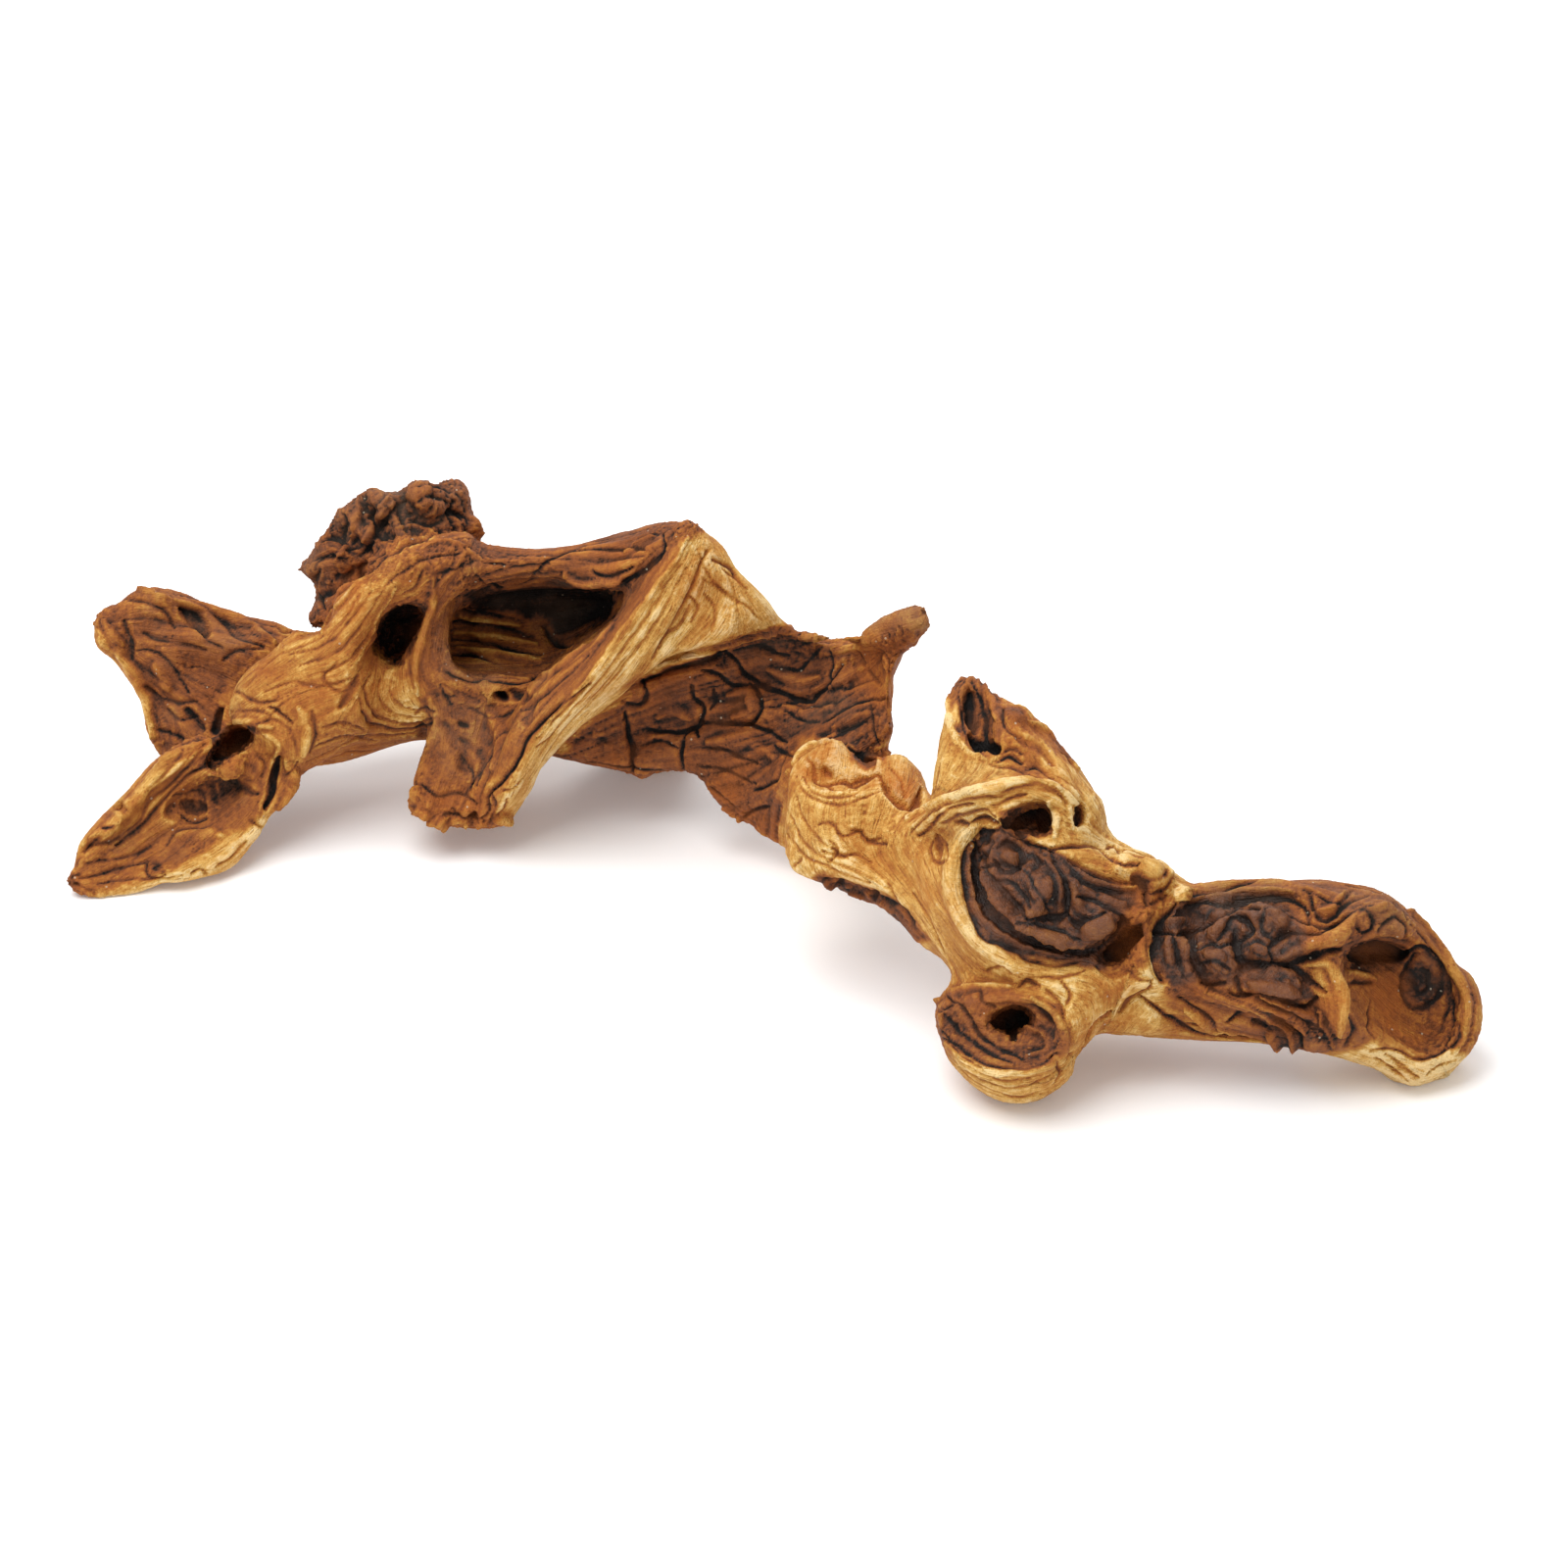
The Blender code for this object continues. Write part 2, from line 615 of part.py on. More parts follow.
def press(obj, strokes):
    """Raises or sinks the skin along strokes that are laid on it from the eye."""
    mesh = obj.data
    graph = bpy.context.evaluated_depsgraph_get()
    tree = BVHTree.FromObject(obj, graph)
    count = len(mesh.vertices)
    points = np.empty(count * 3)
    mesh.vertices.foreach_get("co", points)
    points = points.reshape(-1, 3)
    normals = np.empty(count * 3)
    mesh.vertices.foreach_get("normal", normals)
    normals = normals.reshape(-1, 3)
    moves = np.zeros(count)
    for half_width, height, spots in strokes:
        row = through([Vector(spot) for spot in spots], STEPS_PER_SPAN)
        hits = (tree.ray_cast(EYE, line_of_sight(spot).normalized())[0] for spot in row)
        line = np.array([hit for hit in hits if hit is not None])
        reach = distance_to_line(points, line) / (half_width * MM)
        moves += height * MM * np.clip(1 - reach ** 2, 0, None) ** 2
    points += normals * moves[:, None]
    mesh.vertices.foreach_set("co", points.ravel())
    mesh.update()


def weather(obj):
    """Waves the skin along the root's length, more on the side that is turned from the eye."""
    bm = bmesh.new()
    bm.from_mesh(obj.data)
    for vert in bm.verts:
        place = Vector(vert.co[i] / WAVE_SIZE[i] for i in range(3))
        wave = noise.fractal(place, WAVE_FINER, WAVE_STEP, WAVE_LAYERS)
        groove = 1 - abs(noise.noise(place * GROOVE_STEP))
        turned = 0.5 + 0.5 * vert.normal.dot(SIGHT)
        depth = WAVE_FRONT + (WAVE_REAR - WAVE_FRONT) * turned ** 2
        vert.co += vert.normal * depth * (wave - groove ** 4)
    bm.to_mesh(obj.data)
    bm.free()


def thin_out(obj, triangles):
    """Collapses the least telling edges until about that many triangles are left."""
    obj.data.calc_loop_triangles()
    decimate = obj.modifiers.new("thin out", "DECIMATE")
    decimate.ratio = triangles / len(obj.data.loop_triangles)
    decimate.use_collapse_triangulate = True
    apply_modifiers(obj)


def stand(obj):
    """Cuts the feet flat, and moves the root so that its origin is under its middle."""
    bm = bmesh.new()
    bm.from_mesh(obj.data)
    bmesh.ops.bisect_plane(
        bm, geom=[*bm.verts, *bm.edges, *bm.faces],
        plane_co=(0, 0, 0), plane_no=(0, 0, 1), clear_inner=True,
    )
    rims = [edge for edge in bm.edges if edge.is_boundary]
    bmesh.ops.holes_fill(bm, edges=rims)
    bmesh.ops.triangulate(bm, faces=bm.faces)
    low = [min(vert.co[i] for vert in bm.verts) for i in range(2)]
    high = [max(vert.co[i] for vert in bm.verts) for i in range(2)]
    middle = Vector(((low[0] + high[0]) / 2, (low[1] + high[1]) / 2, 0))
    bmesh.ops.translate(bm, vec=-middle, verts=bm.verts)
    for face in bm.faces:
        face.smooth = True
    bm.to_mesh(obj.data)
    bm.free()


def wood():
    """The weathered root wood: brown, between the pale outer and the red inner wood."""
    material = bpy.data.materials.new("weathered mopani wood")
    material.use_nodes = True
    shader = material.node_tree.nodes["Principled BSDF"]
    shader.inputs["Base Color"].default_value = WOOD_COLOUR
    shader.inputs["Roughness"].default_value = WOOD_ROUGHNESS
    shader.inputs["Metallic"].default_value = 0
    return material


def main():
    for obj in list(bpy.data.objects):
        bpy.data.objects.remove(obj)
    root_collection = bpy.data.collections.new("Mopani root")
    cutters = bpy.data.collections.new("Cutters")
    bpy.context.scene.collection.children.link(root_collection)
    bpy.context.scene.collection.children.link(cutters)

    root = lofted("mopani_root", LIMBS, depth_at_back, root_collection)
    skin(root, SKIN_VOXEL, 2)
    hollows = lofted("hollows", HOLLOWS, depth_under(root), cutters)
    skin(hollows, SKIN_VOXEL, 1)
    grow_lumps(root, LUMPS)
    skin(root, SKIN_VOXEL, 1)
    hollows.hide_render = True
    hollows.display_type = "WIRE"
    cut(root, hollows)
    weather(root)
    press(root, RELIEF)
    skin(root, SKIN_VOXEL, 2)
    thin_out(root, TRIANGLES)
    stand(root)
    root.data.materials.append(wood())
    return root


main()
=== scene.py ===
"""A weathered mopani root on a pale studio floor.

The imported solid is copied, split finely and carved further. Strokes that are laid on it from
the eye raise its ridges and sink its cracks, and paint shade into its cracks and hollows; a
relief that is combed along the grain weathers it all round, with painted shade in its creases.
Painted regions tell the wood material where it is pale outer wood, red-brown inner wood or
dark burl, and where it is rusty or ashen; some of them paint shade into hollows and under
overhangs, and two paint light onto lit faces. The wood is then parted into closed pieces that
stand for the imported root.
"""

import math

import bmesh
import bpy
import numpy as np
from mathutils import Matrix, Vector
from mathutils.bvhtree import BVHTree
from mathutils.kdtree import KDTree


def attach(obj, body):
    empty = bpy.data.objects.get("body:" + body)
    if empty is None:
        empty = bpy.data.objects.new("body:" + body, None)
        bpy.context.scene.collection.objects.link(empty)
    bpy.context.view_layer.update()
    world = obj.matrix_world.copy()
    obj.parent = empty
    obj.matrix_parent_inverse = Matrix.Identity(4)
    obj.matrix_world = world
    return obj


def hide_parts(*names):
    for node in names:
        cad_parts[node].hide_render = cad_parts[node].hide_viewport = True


MM = 0.001

# The front view in which all spots below are given: 1600 x 1600 units, y downwards.
VIEW_UNITS = 1600
VIEW_WIDTH = 0.500  # across the whole view, at its middle
VIEW_DISTANCE = 1.25  # from the eye to the view's middle
VIEW_TILT = math.radians(30)  # the eye looks down by this much
VIEW_MIDDLE = Vector((11.3 * MM, -15.0 * MM, 60 * MM))
SENSOR = 36.0  # the width of the camera's sensor, in mm

# The finely split wood: the side of its even cells, and how often they are smoothed.
FINE_VOXEL = 0.75 * MM
SMOOTHING = 9

# Where the fine wood is parted into pieces: planes across X (mm), and the pieces' names.
PARTINGS = (-118, -60, 0, 62, 132)
PIECES = (
    "left_arms", "hollow_log", "front_leg", "leaning_sheet", "burled_body", "right_limb",
)

# Patterns in space: their seed, and the cells along each side of the grid that they repeat.
SEED = 11
LATTICE = 48

# Strokes and grain lines that are laid on the wood.
STROKE_SPACING = 4  # units between a stroke's points
GRAIN_SPACING = 6  # units between a grain line's points
LONGEST_JUMP = 6 * MM  # a line breaks where its next point lies further off than this
STROKE_WAVE = 0.5 * MM  # how far a stroke's edges wander
WAVE_SIZE = 4 * MM
STROKE_SHADES = 5 * MM  # the size of the patches in which strokes are darker and paler
STROKE_FACING = 0.35  # fine and sunk strokes stay off skin that is turned away by more
WIDE_STROKE = 2.0  # half width (mm) from which a sunk stroke is a hollow and not a crack
# A stroke's dark core is painted shade in its crack or hollow.
CRACK_WIDTH = 0.75  # about half the width (mm) of a fine stroke's dark core
CRACK_VALLEY = 2.4  # how many times as wide as its crack a valley is
THINNEST_END = 0.45  # how much of its width a line keeps at its ends

# Grain: how far a grain line reaches, and the cells in which its direction is kept.
GRAIN_REACH = 5 * MM
FLOW_CELL = 2.5 * MM
POINTS_AT_ONCE = 4000  # as many as memory holds with ease

# Weathering: the width and length of the ridges that are combed along the grain, and the
# sizes of the torn patches and of the lumps on the burls.
BROAD_RIDGES = (9 * MM, 40 * MM)
MIDDLE_RIDGES = (3.6 * MM, 22 * MM)
THREADS = (1.4 * MM, 11 * MM)
TORN_PATCHES = 14 * MM
BURL_LUMPS = 5.5 * MM
BURL_GRAINS = 2.6 * MM
# The cavity values paint shade into the hollows and light onto the ridges of the carved wood.
CAVITY_LEVELS = ((4, 0.25 * MM), (24, 0.9 * MM))  # smoothing steps, and a full cavity's depth

# Painting: the regions' edges wander in waves of these sizes, by so many units.
EDGE_WAVES = ((5 * MM, 4.0), (1.6 * MM, 1.5))
VIEW_CELL = 5  # units; within such a cell the eye sees only what lies in front
SEEN_BEHIND = 5 * MM  # how far behind its cell's front a point is still seen
BURL_REACH = 4 * MM  # how far a burl or tint reaches round the edge of what is seen
SEEN_SAMPLES = 8  # the hidden sides take their values from one in so many seen points
HIDDEN_PATCHES = 30 * MM  # the size of paler and darker patches on the hidden sides

# Studio: the floor's glow keeps its shadows faint, and each lamp has a place, size and power.
FLOOR_SIZE = 3.0
FLOOR_COLOUR = "#F6F6F6"
FLOOR_GLOW = 0.09
WORLD_LIGHT = 0.71
LAMPS = (
    ("top softbox", (-0.30, -0.20, 1.1), 0.9, 12.0),
    ("back softbox", (0.3, 0.9, 0.9), 0.6, 4.0),
)


# Lines and outlines in the front view

# Grain lines that the wood's fibres follow.
GRAIN = (
    # left leg and blade
    ((235, 790), (180, 840), (110, 885), (70, 900)),
    ((300, 775), (285, 815), (250, 860), (200, 890)),
    ((215, 760), (165, 785), (120, 835), (70, 890)),
    ((285, 640), (220, 625), (140, 610), (105, 630)),
    ((270, 680), (220, 660), (160, 650), (110, 650)),
    ((225, 730), (180, 700), (140, 680)),
    ((165, 770), (160, 730), (130, 680), (100, 650)),
    # crest
    ((400, 600), (350, 570), (315, 580)),
    ((405, 590), (360, 545), (348, 520)),
    ((420, 570), (395, 520), (385, 500)),
    ((445, 560), (440, 520), (435, 485)),
    ((470, 560), (470, 520), (465, 490)),
    # shoulder, strut and lower body
    ((470, 545), (400, 570), (350, 620), (320, 655), (270, 690), (235, 720)),
    ((395, 625), (375, 665), (350, 690), (300, 700), (260, 720)),
    ((300, 780), (290, 740), (310, 715), (360, 700), (375, 680)),
    ((380, 690), (372, 715), (385, 740), (415, 745), (440, 738)),
    ((395, 690), (392, 712), (405, 730), (430, 735)),
    ((305, 780), (350, 760), (400, 750), (430, 745)),
    ((455, 600), (435, 640), (425, 680), (440, 720)),
    ((440, 700), (500, 715), (540, 705)),
    # front leg, ridge band and beam
    ((450, 700), (445, 760), (430, 810)),
    ((500, 700), (490, 760), (460, 830)),
    ((560, 690), (520, 740), (490, 800), (480, 840)),
    ((715, 540), (680, 590), (640, 650), (600, 700), (560, 750), (520, 820)),
    ((722, 545), (740, 590), (720, 630), (690, 660)),
    ((730, 560), (765, 600), (790, 630)),
    ((700, 580), (680, 640), (650, 690)),
    ((470, 555), (520, 570), (600, 560), (700, 535)),
    ((480, 595), (540, 580), (620, 580)),
    ((470, 640), (520, 645), (580, 635)),
    # dark sheet
    ((900, 640), (840, 660), (780, 680), (700, 700), (620, 730)),
    ((900, 690), (850, 720), (790, 750), (720, 770), (640, 780)),
    ((560, 780), (650, 795), (730, 820), (800, 868)),
    ((800, 645), (860, 645), (930, 625)),
    # stump and prong
    ((850, 755), (840, 800), (830, 850), (850, 900)),
    ((910, 770), (905, 820), (900, 880), (930, 930)),
    ((810, 800), (800, 850), (810, 885)),
    ((990, 690), (965, 750), (945, 800), (900, 850)),
    ((1010, 705), (1000, 780), (985, 800)),
    ((1050, 730), (1090, 780), (1125, 830)),
    ((1030, 760), (1060, 800), (1100, 820)),
    # burled body
    ((870, 880), (920, 900), (960, 960), (985, 1005)),
    ((950, 850), (990, 815), (1050, 803), (1095, 815)),
    ((945, 870), (965, 920), (1000, 970), (1060, 1000), (1120, 1000)),
    ((1075, 865), (1130, 870), (1180, 895)),
    ((1140, 1050), (1160, 1020), (1190, 1010)),
    ((1000, 850), (988, 900), (1005, 945), (1050, 975), (1110, 982)),
    ((1040, 850), (1060, 900), (1085, 950), (1120, 960)),
    ((1070, 870), (1110, 910), (1150, 920)),
    ((1030, 880), (1030, 920), (1060, 960)),
    # knob
    ((975, 1010), (955, 1040), (975, 1090), (1020, 1120), (1070, 1115), (1100, 1090)),
    ((1000, 1010), (1050, 1005), (1090, 1030), (1090, 1070), (1050, 1085), (1000, 1085)),
    ((1060, 985), (1100, 985), (1125, 1010), (1125, 1045)),
    # right limb
    ((1190, 910), (1250, 905), (1330, 900), (1400, 910), (1450, 940), (1490, 990)),
    ((1200, 940), (1190, 980), (1210, 1010)),
    ((1230, 930), (1225, 970), (1250, 1000)),
    ((1290, 930), (1310, 960), (1290, 990)),
    ((1200, 1010), (1260, 1030), (1330, 1050)),
    ((1220, 1040), (1290, 1060), (1350, 1070)),
    ((1380, 960), (1430, 950), (1480, 980), (1500, 1020), (1490, 1070)),
    ((1400, 1000), (1430, 1030), (1480, 1050)),
    ((1370, 1000), (1365, 1050)),
    ((1380, 1080), (1420, 1095), (1450, 1105)),
)

# Painted regions: name, how dark and red the wood is (0 straw, 0.5 orange-brown, 1 near
# black), how much of a burl it is, how soft the region's edge is (units) and its outline. A
# later region covers the earlier ones.
REGIONS = (
    ("blade", 0.67, 0.0, 5, (
        (290, 630), (225, 605), (138, 590), (85, 630), (100, 665), (140, 705), (158, 780),
        (216, 757), (222, 715), (240, 690), (265, 670), (285, 650))),
    ("blade edge", 0.34, 0.0, 4, (
        (92, 640), (106, 646), (134, 688), (150, 710), (158, 748), (148, 748), (130, 706),
        (100, 662))),
    ("crest", 0.78, 0.0, 4, (
        (300, 645), (325, 647), (340, 625), (350, 605), (370, 590), (390, 575), (400, 560),
        (440, 545), (505, 560), (490, 470), (420, 470), (340, 500), (290, 575))),
    ("shoulder", 0.42, 0.0, 5, (
        (285, 650), (325, 647), (340, 625), (370, 590), (400, 560), (440, 545), (480, 540),
        (470, 575), (430, 600), (400, 612), (375, 640), (370, 668), (400, 690), (380, 715),
        (300, 800), (262, 742), (225, 745), (222, 715), (240, 690), (265, 670))),
    ("lower body", 0.5, 0.0, 8, (
        (320, 730), (400, 735), (440, 740), (432, 760), (380, 780), (300, 795))),
    ("pale knot", 0.22, 0.0, 6, (
        (375, 690), (400, 685), (430, 700), (440, 735), (410, 740), (380, 725))),
    ("crest root", 0.58, 0.0, 8, (
        (392, 578), (410, 556), (450, 543), (490, 548), (484, 572), (450, 584), (420, 592),
        (400, 596))),
    ("strut", 0.62, 0.0, 4, (
        (432, 598), (480, 598), (458, 630), (452, 690), (412, 692), (424, 640))),
    ("beam", 0.72, 0.0, 5, (
        (450, 545), (500, 550), (600, 545), (700, 520), (722, 530), (700, 565), (660, 600),
        (600, 608), (540, 595), (480, 603), (440, 600), (430, 575))),
    ("hollow", 0.66, 0.0, 4, (
        (462, 606), (500, 594), (575, 588), (640, 600), (626, 640), (566, 700), (500, 703),
        (448, 690))),
    # Painted shade: the side hollow is painted near black where it lies in shadow.
    ("side hollow", 0.95, 0.0, 3, (
        (378, 655), (395, 622), (420, 610), (436, 620), (425, 655), (408, 680))),
    ("front leg", 0.6, 0.0, 6, (
        (430, 690), (470, 700), (540, 700), (600, 655), (660, 580), (700, 535), (716, 530),
        (680, 590), (640, 650), (600, 700), (555, 745), (530, 790), (510, 830), (500, 850),
        (415, 850), (410, 800), (435, 770))),
    # Painted shade under the roof of the hollow.
    ("hollow roof", 1.0, 0.0, 5, (
        (474, 606), (505, 600), (570, 594), (632, 604), (626, 636), (600, 632), (570, 650),
        (556, 626), (480, 628))),
    # Painted light: the hollow's lower back wall is painted paler where it catches light.
    ("hollow wall", 0.5, 0.0, 4, (
        (466, 634), (500, 626), (552, 632), (566, 660), (552, 682), (500, 688), (472, 680),
        (460, 660))),
    ("ridge band", 0.17, 0.0, 5, (
        (700, 552), (724, 540), (712, 575), (690, 610), (668, 655), (640, 702), (600, 742),
        (568, 772), (530, 840), (505, 830), (532, 778), (556, 742), (602, 694), (645, 636),
        (684, 585))),
    ("swoop", 0.22, 0.0, 6, (
        (716, 545), (730, 555), (760, 588), (810, 638), (780, 645), (735, 655), (700, 680),
        (655, 694), (670, 655), (700, 600))),
    ("sheet", 0.78, 0.0, 4, (
        (560, 778), (655, 694), (735, 657), (780, 645), (806, 636), (880, 628), (925, 605),
        (960, 630), (925, 720), (910, 775), (880, 765), (820, 750), (800, 790), (795, 860),
        (735, 822), (640, 796))),
    # Painted light: the lit upper part of the sheet is painted paler.
    ("sheet light", 0.54, 0.0, 12, (
        (830, 645), (880, 630), (920, 600), (960, 606), (950, 660), (930, 690), (905, 720),
        (870, 700))),
    ("sheet rim", 0.52, 0.0, 4, (
        (600, 788), (640, 797), (735, 820), (797, 866), (797, 880), (730, 840), (640, 810),
        (590, 800))),
    ("horn", 0.66, 0.0, 5, (
        (876, 648), (896, 630), (930, 608), (954, 618), (952, 648), (930, 670), (918, 704),
        (904, 690), (892, 664))),
    ("stump", 0.28, 0.0, 6, (
        (795, 880), (800, 815), (812, 800), (850, 808), (900, 806), (945, 790), (955, 830),
        (900, 860), (850, 905), (810, 895))),
    ("stump break", 0.24, 0.0, 4, (
        (805, 790), (820, 760), (850, 745), (872, 775), (905, 757), (940, 780), (935, 800),
        (900, 806), (850, 810), (815, 802))),
    ("stump char", 0.97, 0.0, 3, (
        (860, 756), (872, 764), (888, 768), (904, 762), (901, 775), (884, 784), (868, 776))),
    ("prong", 0.28, 0.0, 6, (
        (946, 790), (960, 715), (985, 680), (1010, 690), (1050, 725), (1125, 805), (1140, 860),
        (1090, 812), (1020, 803), (940, 850), (900, 850))),
    ("prong groove", 0.74, 0.0, 4, (
        (970, 706), (976, 692), (992, 676), (1010, 684), (1020, 704), (1026, 740), (1020, 768),
        (1000, 774), (980, 750))),
    ("prong lump", 0.8, 0.3, 3, (
        (1020, 720), (1032, 716), (1046, 722), (1050, 738), (1038, 748), (1024, 744))),
    ("prong smudge", 0.62, 0.0, 9, (
        (1058, 738), (1080, 754), (1100, 778), (1088, 784), (1068, 764))),
    ("prong side", 0.5, 0.0, 5, (
        (1022, 735), (1060, 740), (1085, 775), (1078, 800), (1040, 792), (1018, 778))),
    ("body", 0.26, 0.0, 8, (
        (800, 880), (900, 855), (950, 845), (1000, 815), (1060, 800), (1130, 820), (1215, 900),
        (1190, 1010), (1190, 1068), (1110, 1066), (1060, 1000), (985, 1010), (940, 960),
        (840, 905))),
    # Painted shade along the stump's underside.
    ("stump underside", 0.82, 0.0, 4, (
        (836, 892), (852, 897), (882, 906), (908, 920), (930, 938), (946, 958), (934, 964),
        (912, 944), (880, 926), (846, 910), (830, 900))),
    ("prong flank", 0.24, 0.0, 5, (
        (1065, 765), (1092, 777), (1112, 785), (1131, 820), (1134, 850), (1108, 836), (1085, 806),
        (1061, 793))),
    ("flank stain", 0.78, 0.0, 4, (
        (1074, 748), (1086, 752), (1098, 772), (1090, 778), (1078, 764))),
    ("pale shoulder", 0.16, 0.0, 5, (
        (1096, 845), (1131, 838), (1162, 858), (1193, 866), (1214, 888), (1210, 905), (1193, 914),
        (1181, 926), (1164, 908), (1146, 889), (1123, 868))),
    # Painted shadow under the burl's right end.
    ("burl foot", 0.66, 0.0, 5, (
        (1134, 986), (1142, 958), (1160, 938), (1176, 934), (1178, 962), (1170, 986), (1150, 994))),
    ("burl", 0.82, 1.0, 4, (
        (1000, 845), (1035, 848), (1048, 862), (1072, 866), (1120, 893), (1166, 912), (1155, 950),
        (1128, 988), (1080, 985), (1030, 975), (998, 950), (984, 905), (985, 870))),
    # The cave is painted dark: partly burl bark colour, partly painted shade in the recess.
    ("burl cave", 0.85, 0.3, 4, (
        (1018, 832), (1050, 820), (1072, 822), (1074, 850), (1050, 858), (1030, 846))),
    # Painted shade in the recess under the burl's overhang.
    ("burl pocket", 0.8, 0.0, 4, (
        (1132, 966), (1142, 938), (1160, 918), (1174, 926), (1172, 950), (1160, 975), (1140, 984))),
    ("burnt patch", 0.7, 0.0, 12, (
        (1146, 892), (1160, 884), (1182, 896), (1186, 915), (1176, 945), (1160, 940))),
    ("orange sliver", 0.34, 0.0, 3, (
        (1075, 862), (1110, 866), (1148, 890), (1162, 906), (1125, 893), (1092, 878))),
    ("knob", 0.26, 0.0, 6, (
        (940, 1020), (990, 985), (1060, 975), (1125, 990), (1140, 1040), (1100, 1110), (1040, 1135),
        (980, 1110), (940, 1050))),
    ("knob mouth", 0.7, 0.3, 5, (
        (948, 1030), (975, 1008), (1030, 1010), (1078, 1030), (1092, 1062), (1070, 1088),
        (1020, 1090), (975, 1080), (952, 1055))),
    ("limb", 0.64, 0.1, 6, (
        (1190, 925), (1220, 905), (1290, 897), (1400, 900), (1440, 925), (1510, 1015), (1505, 1060),
        (1480, 1085), (1400, 1070), (1340, 1080), (1290, 1068), (1240, 1050), (1190, 1015),
        (1178, 965))),
    ("limb burl", 0.8, 1.0, 4, (
        (1183, 945), (1200, 922), (1250, 912), (1310, 915), (1330, 950), (1330, 985), (1345, 1025),
        (1290, 1015), (1230, 1000), (1195, 1005), (1180, 975))),
    ("spoon", 0.6, 0.0, 6, (
        (1368, 975), (1400, 955), (1450, 955), (1485, 990), (1485, 1050), (1450, 1072),
        (1400, 1062), (1372, 1020))),
    ("bowl shade", 1.0, 0.0, 5, (
        (1370, 966), (1390, 958), (1432, 960), (1440, 978), (1424, 988), (1384, 988))),
    ("fold edge", 0.78, 0.0, 5, (
        (1296, 1036), (1318, 1026), (1346, 1030), (1366, 1060), (1360, 1080), (1320, 1076),
        (1286, 1062))),
    ("spoon knot", 0.9, 0.4, 6, (
        (1432, 985), (1450, 972), (1470, 985), (1474, 1010), (1455, 1030), (1436, 1015))),
    ("ochre fold", 0.5, 0.0, 4, (
        (1325, 983), (1358, 980), (1372, 1000), (1382, 1035), (1365, 1062), (1350, 1030),
        (1340, 1000))),
    ("torn rim", 0.08, 0.0, 4, (
        (1330, 1076), (1400, 1066), (1450, 1082), (1488, 1072), (1500, 1085), (1445, 1120),
        (1390, 1095))),
    ("leg trough", 0.56, 0.0, 6, (
        (218, 757), (260, 768), (290, 800), (262, 850), (232, 892), (150, 912), (85, 920),
        (55, 895), (92, 850), (150, 795), (165, 765))),
    ("leg lump", 0.6, 0.0, 3, (
        (284, 790), (296, 784), (308, 796), (304, 816), (286, 838), (276, 832), (284, 810))),
    # Painted shade in the upper part of the leg's trough.
    ("leg hollow", 0.66, 0.0, 9, (
        (206, 800), (232, 782), (262, 792), (250, 822), (214, 838), (180, 828))),
    ("leg plank", 0.4, 0.0, 4, (
        (216, 758), (190, 772), (164, 786), (150, 806), (126, 836), (96, 858), (104, 862),
        (134, 846), (156, 820), (180, 792), (206, 770))),
    ("leg pale edge", 0.2, 0.0, 5, (
        (262, 834), (252, 848), (230, 850), (208, 872), (188, 884), (130, 906), (90, 914),
        (130, 922), (240, 908), (290, 850), (280, 828))),
    ("leg knot", 0.82, 0.0, 3, (
        (153, 880), (160, 877), (167, 883), (165, 892), (157, 893))),
    ("leg tip", 0.86, 0.0, 3, (
        (60, 888), (72, 890), (82, 902), (80, 912), (66, 908))),
    # Painted shade: the leg's mouth is painted near black.
    ("mouth", 1.0, 0.0, 3, (
        (204, 785), (213, 766), (218, 756), (215, 741), (222, 719), (230, 721), (227, 737),
        (239, 743), (263, 737), (259, 751), (240, 771), (218, 782))),
)
BASE_TONE = 0.46  # where no region lies

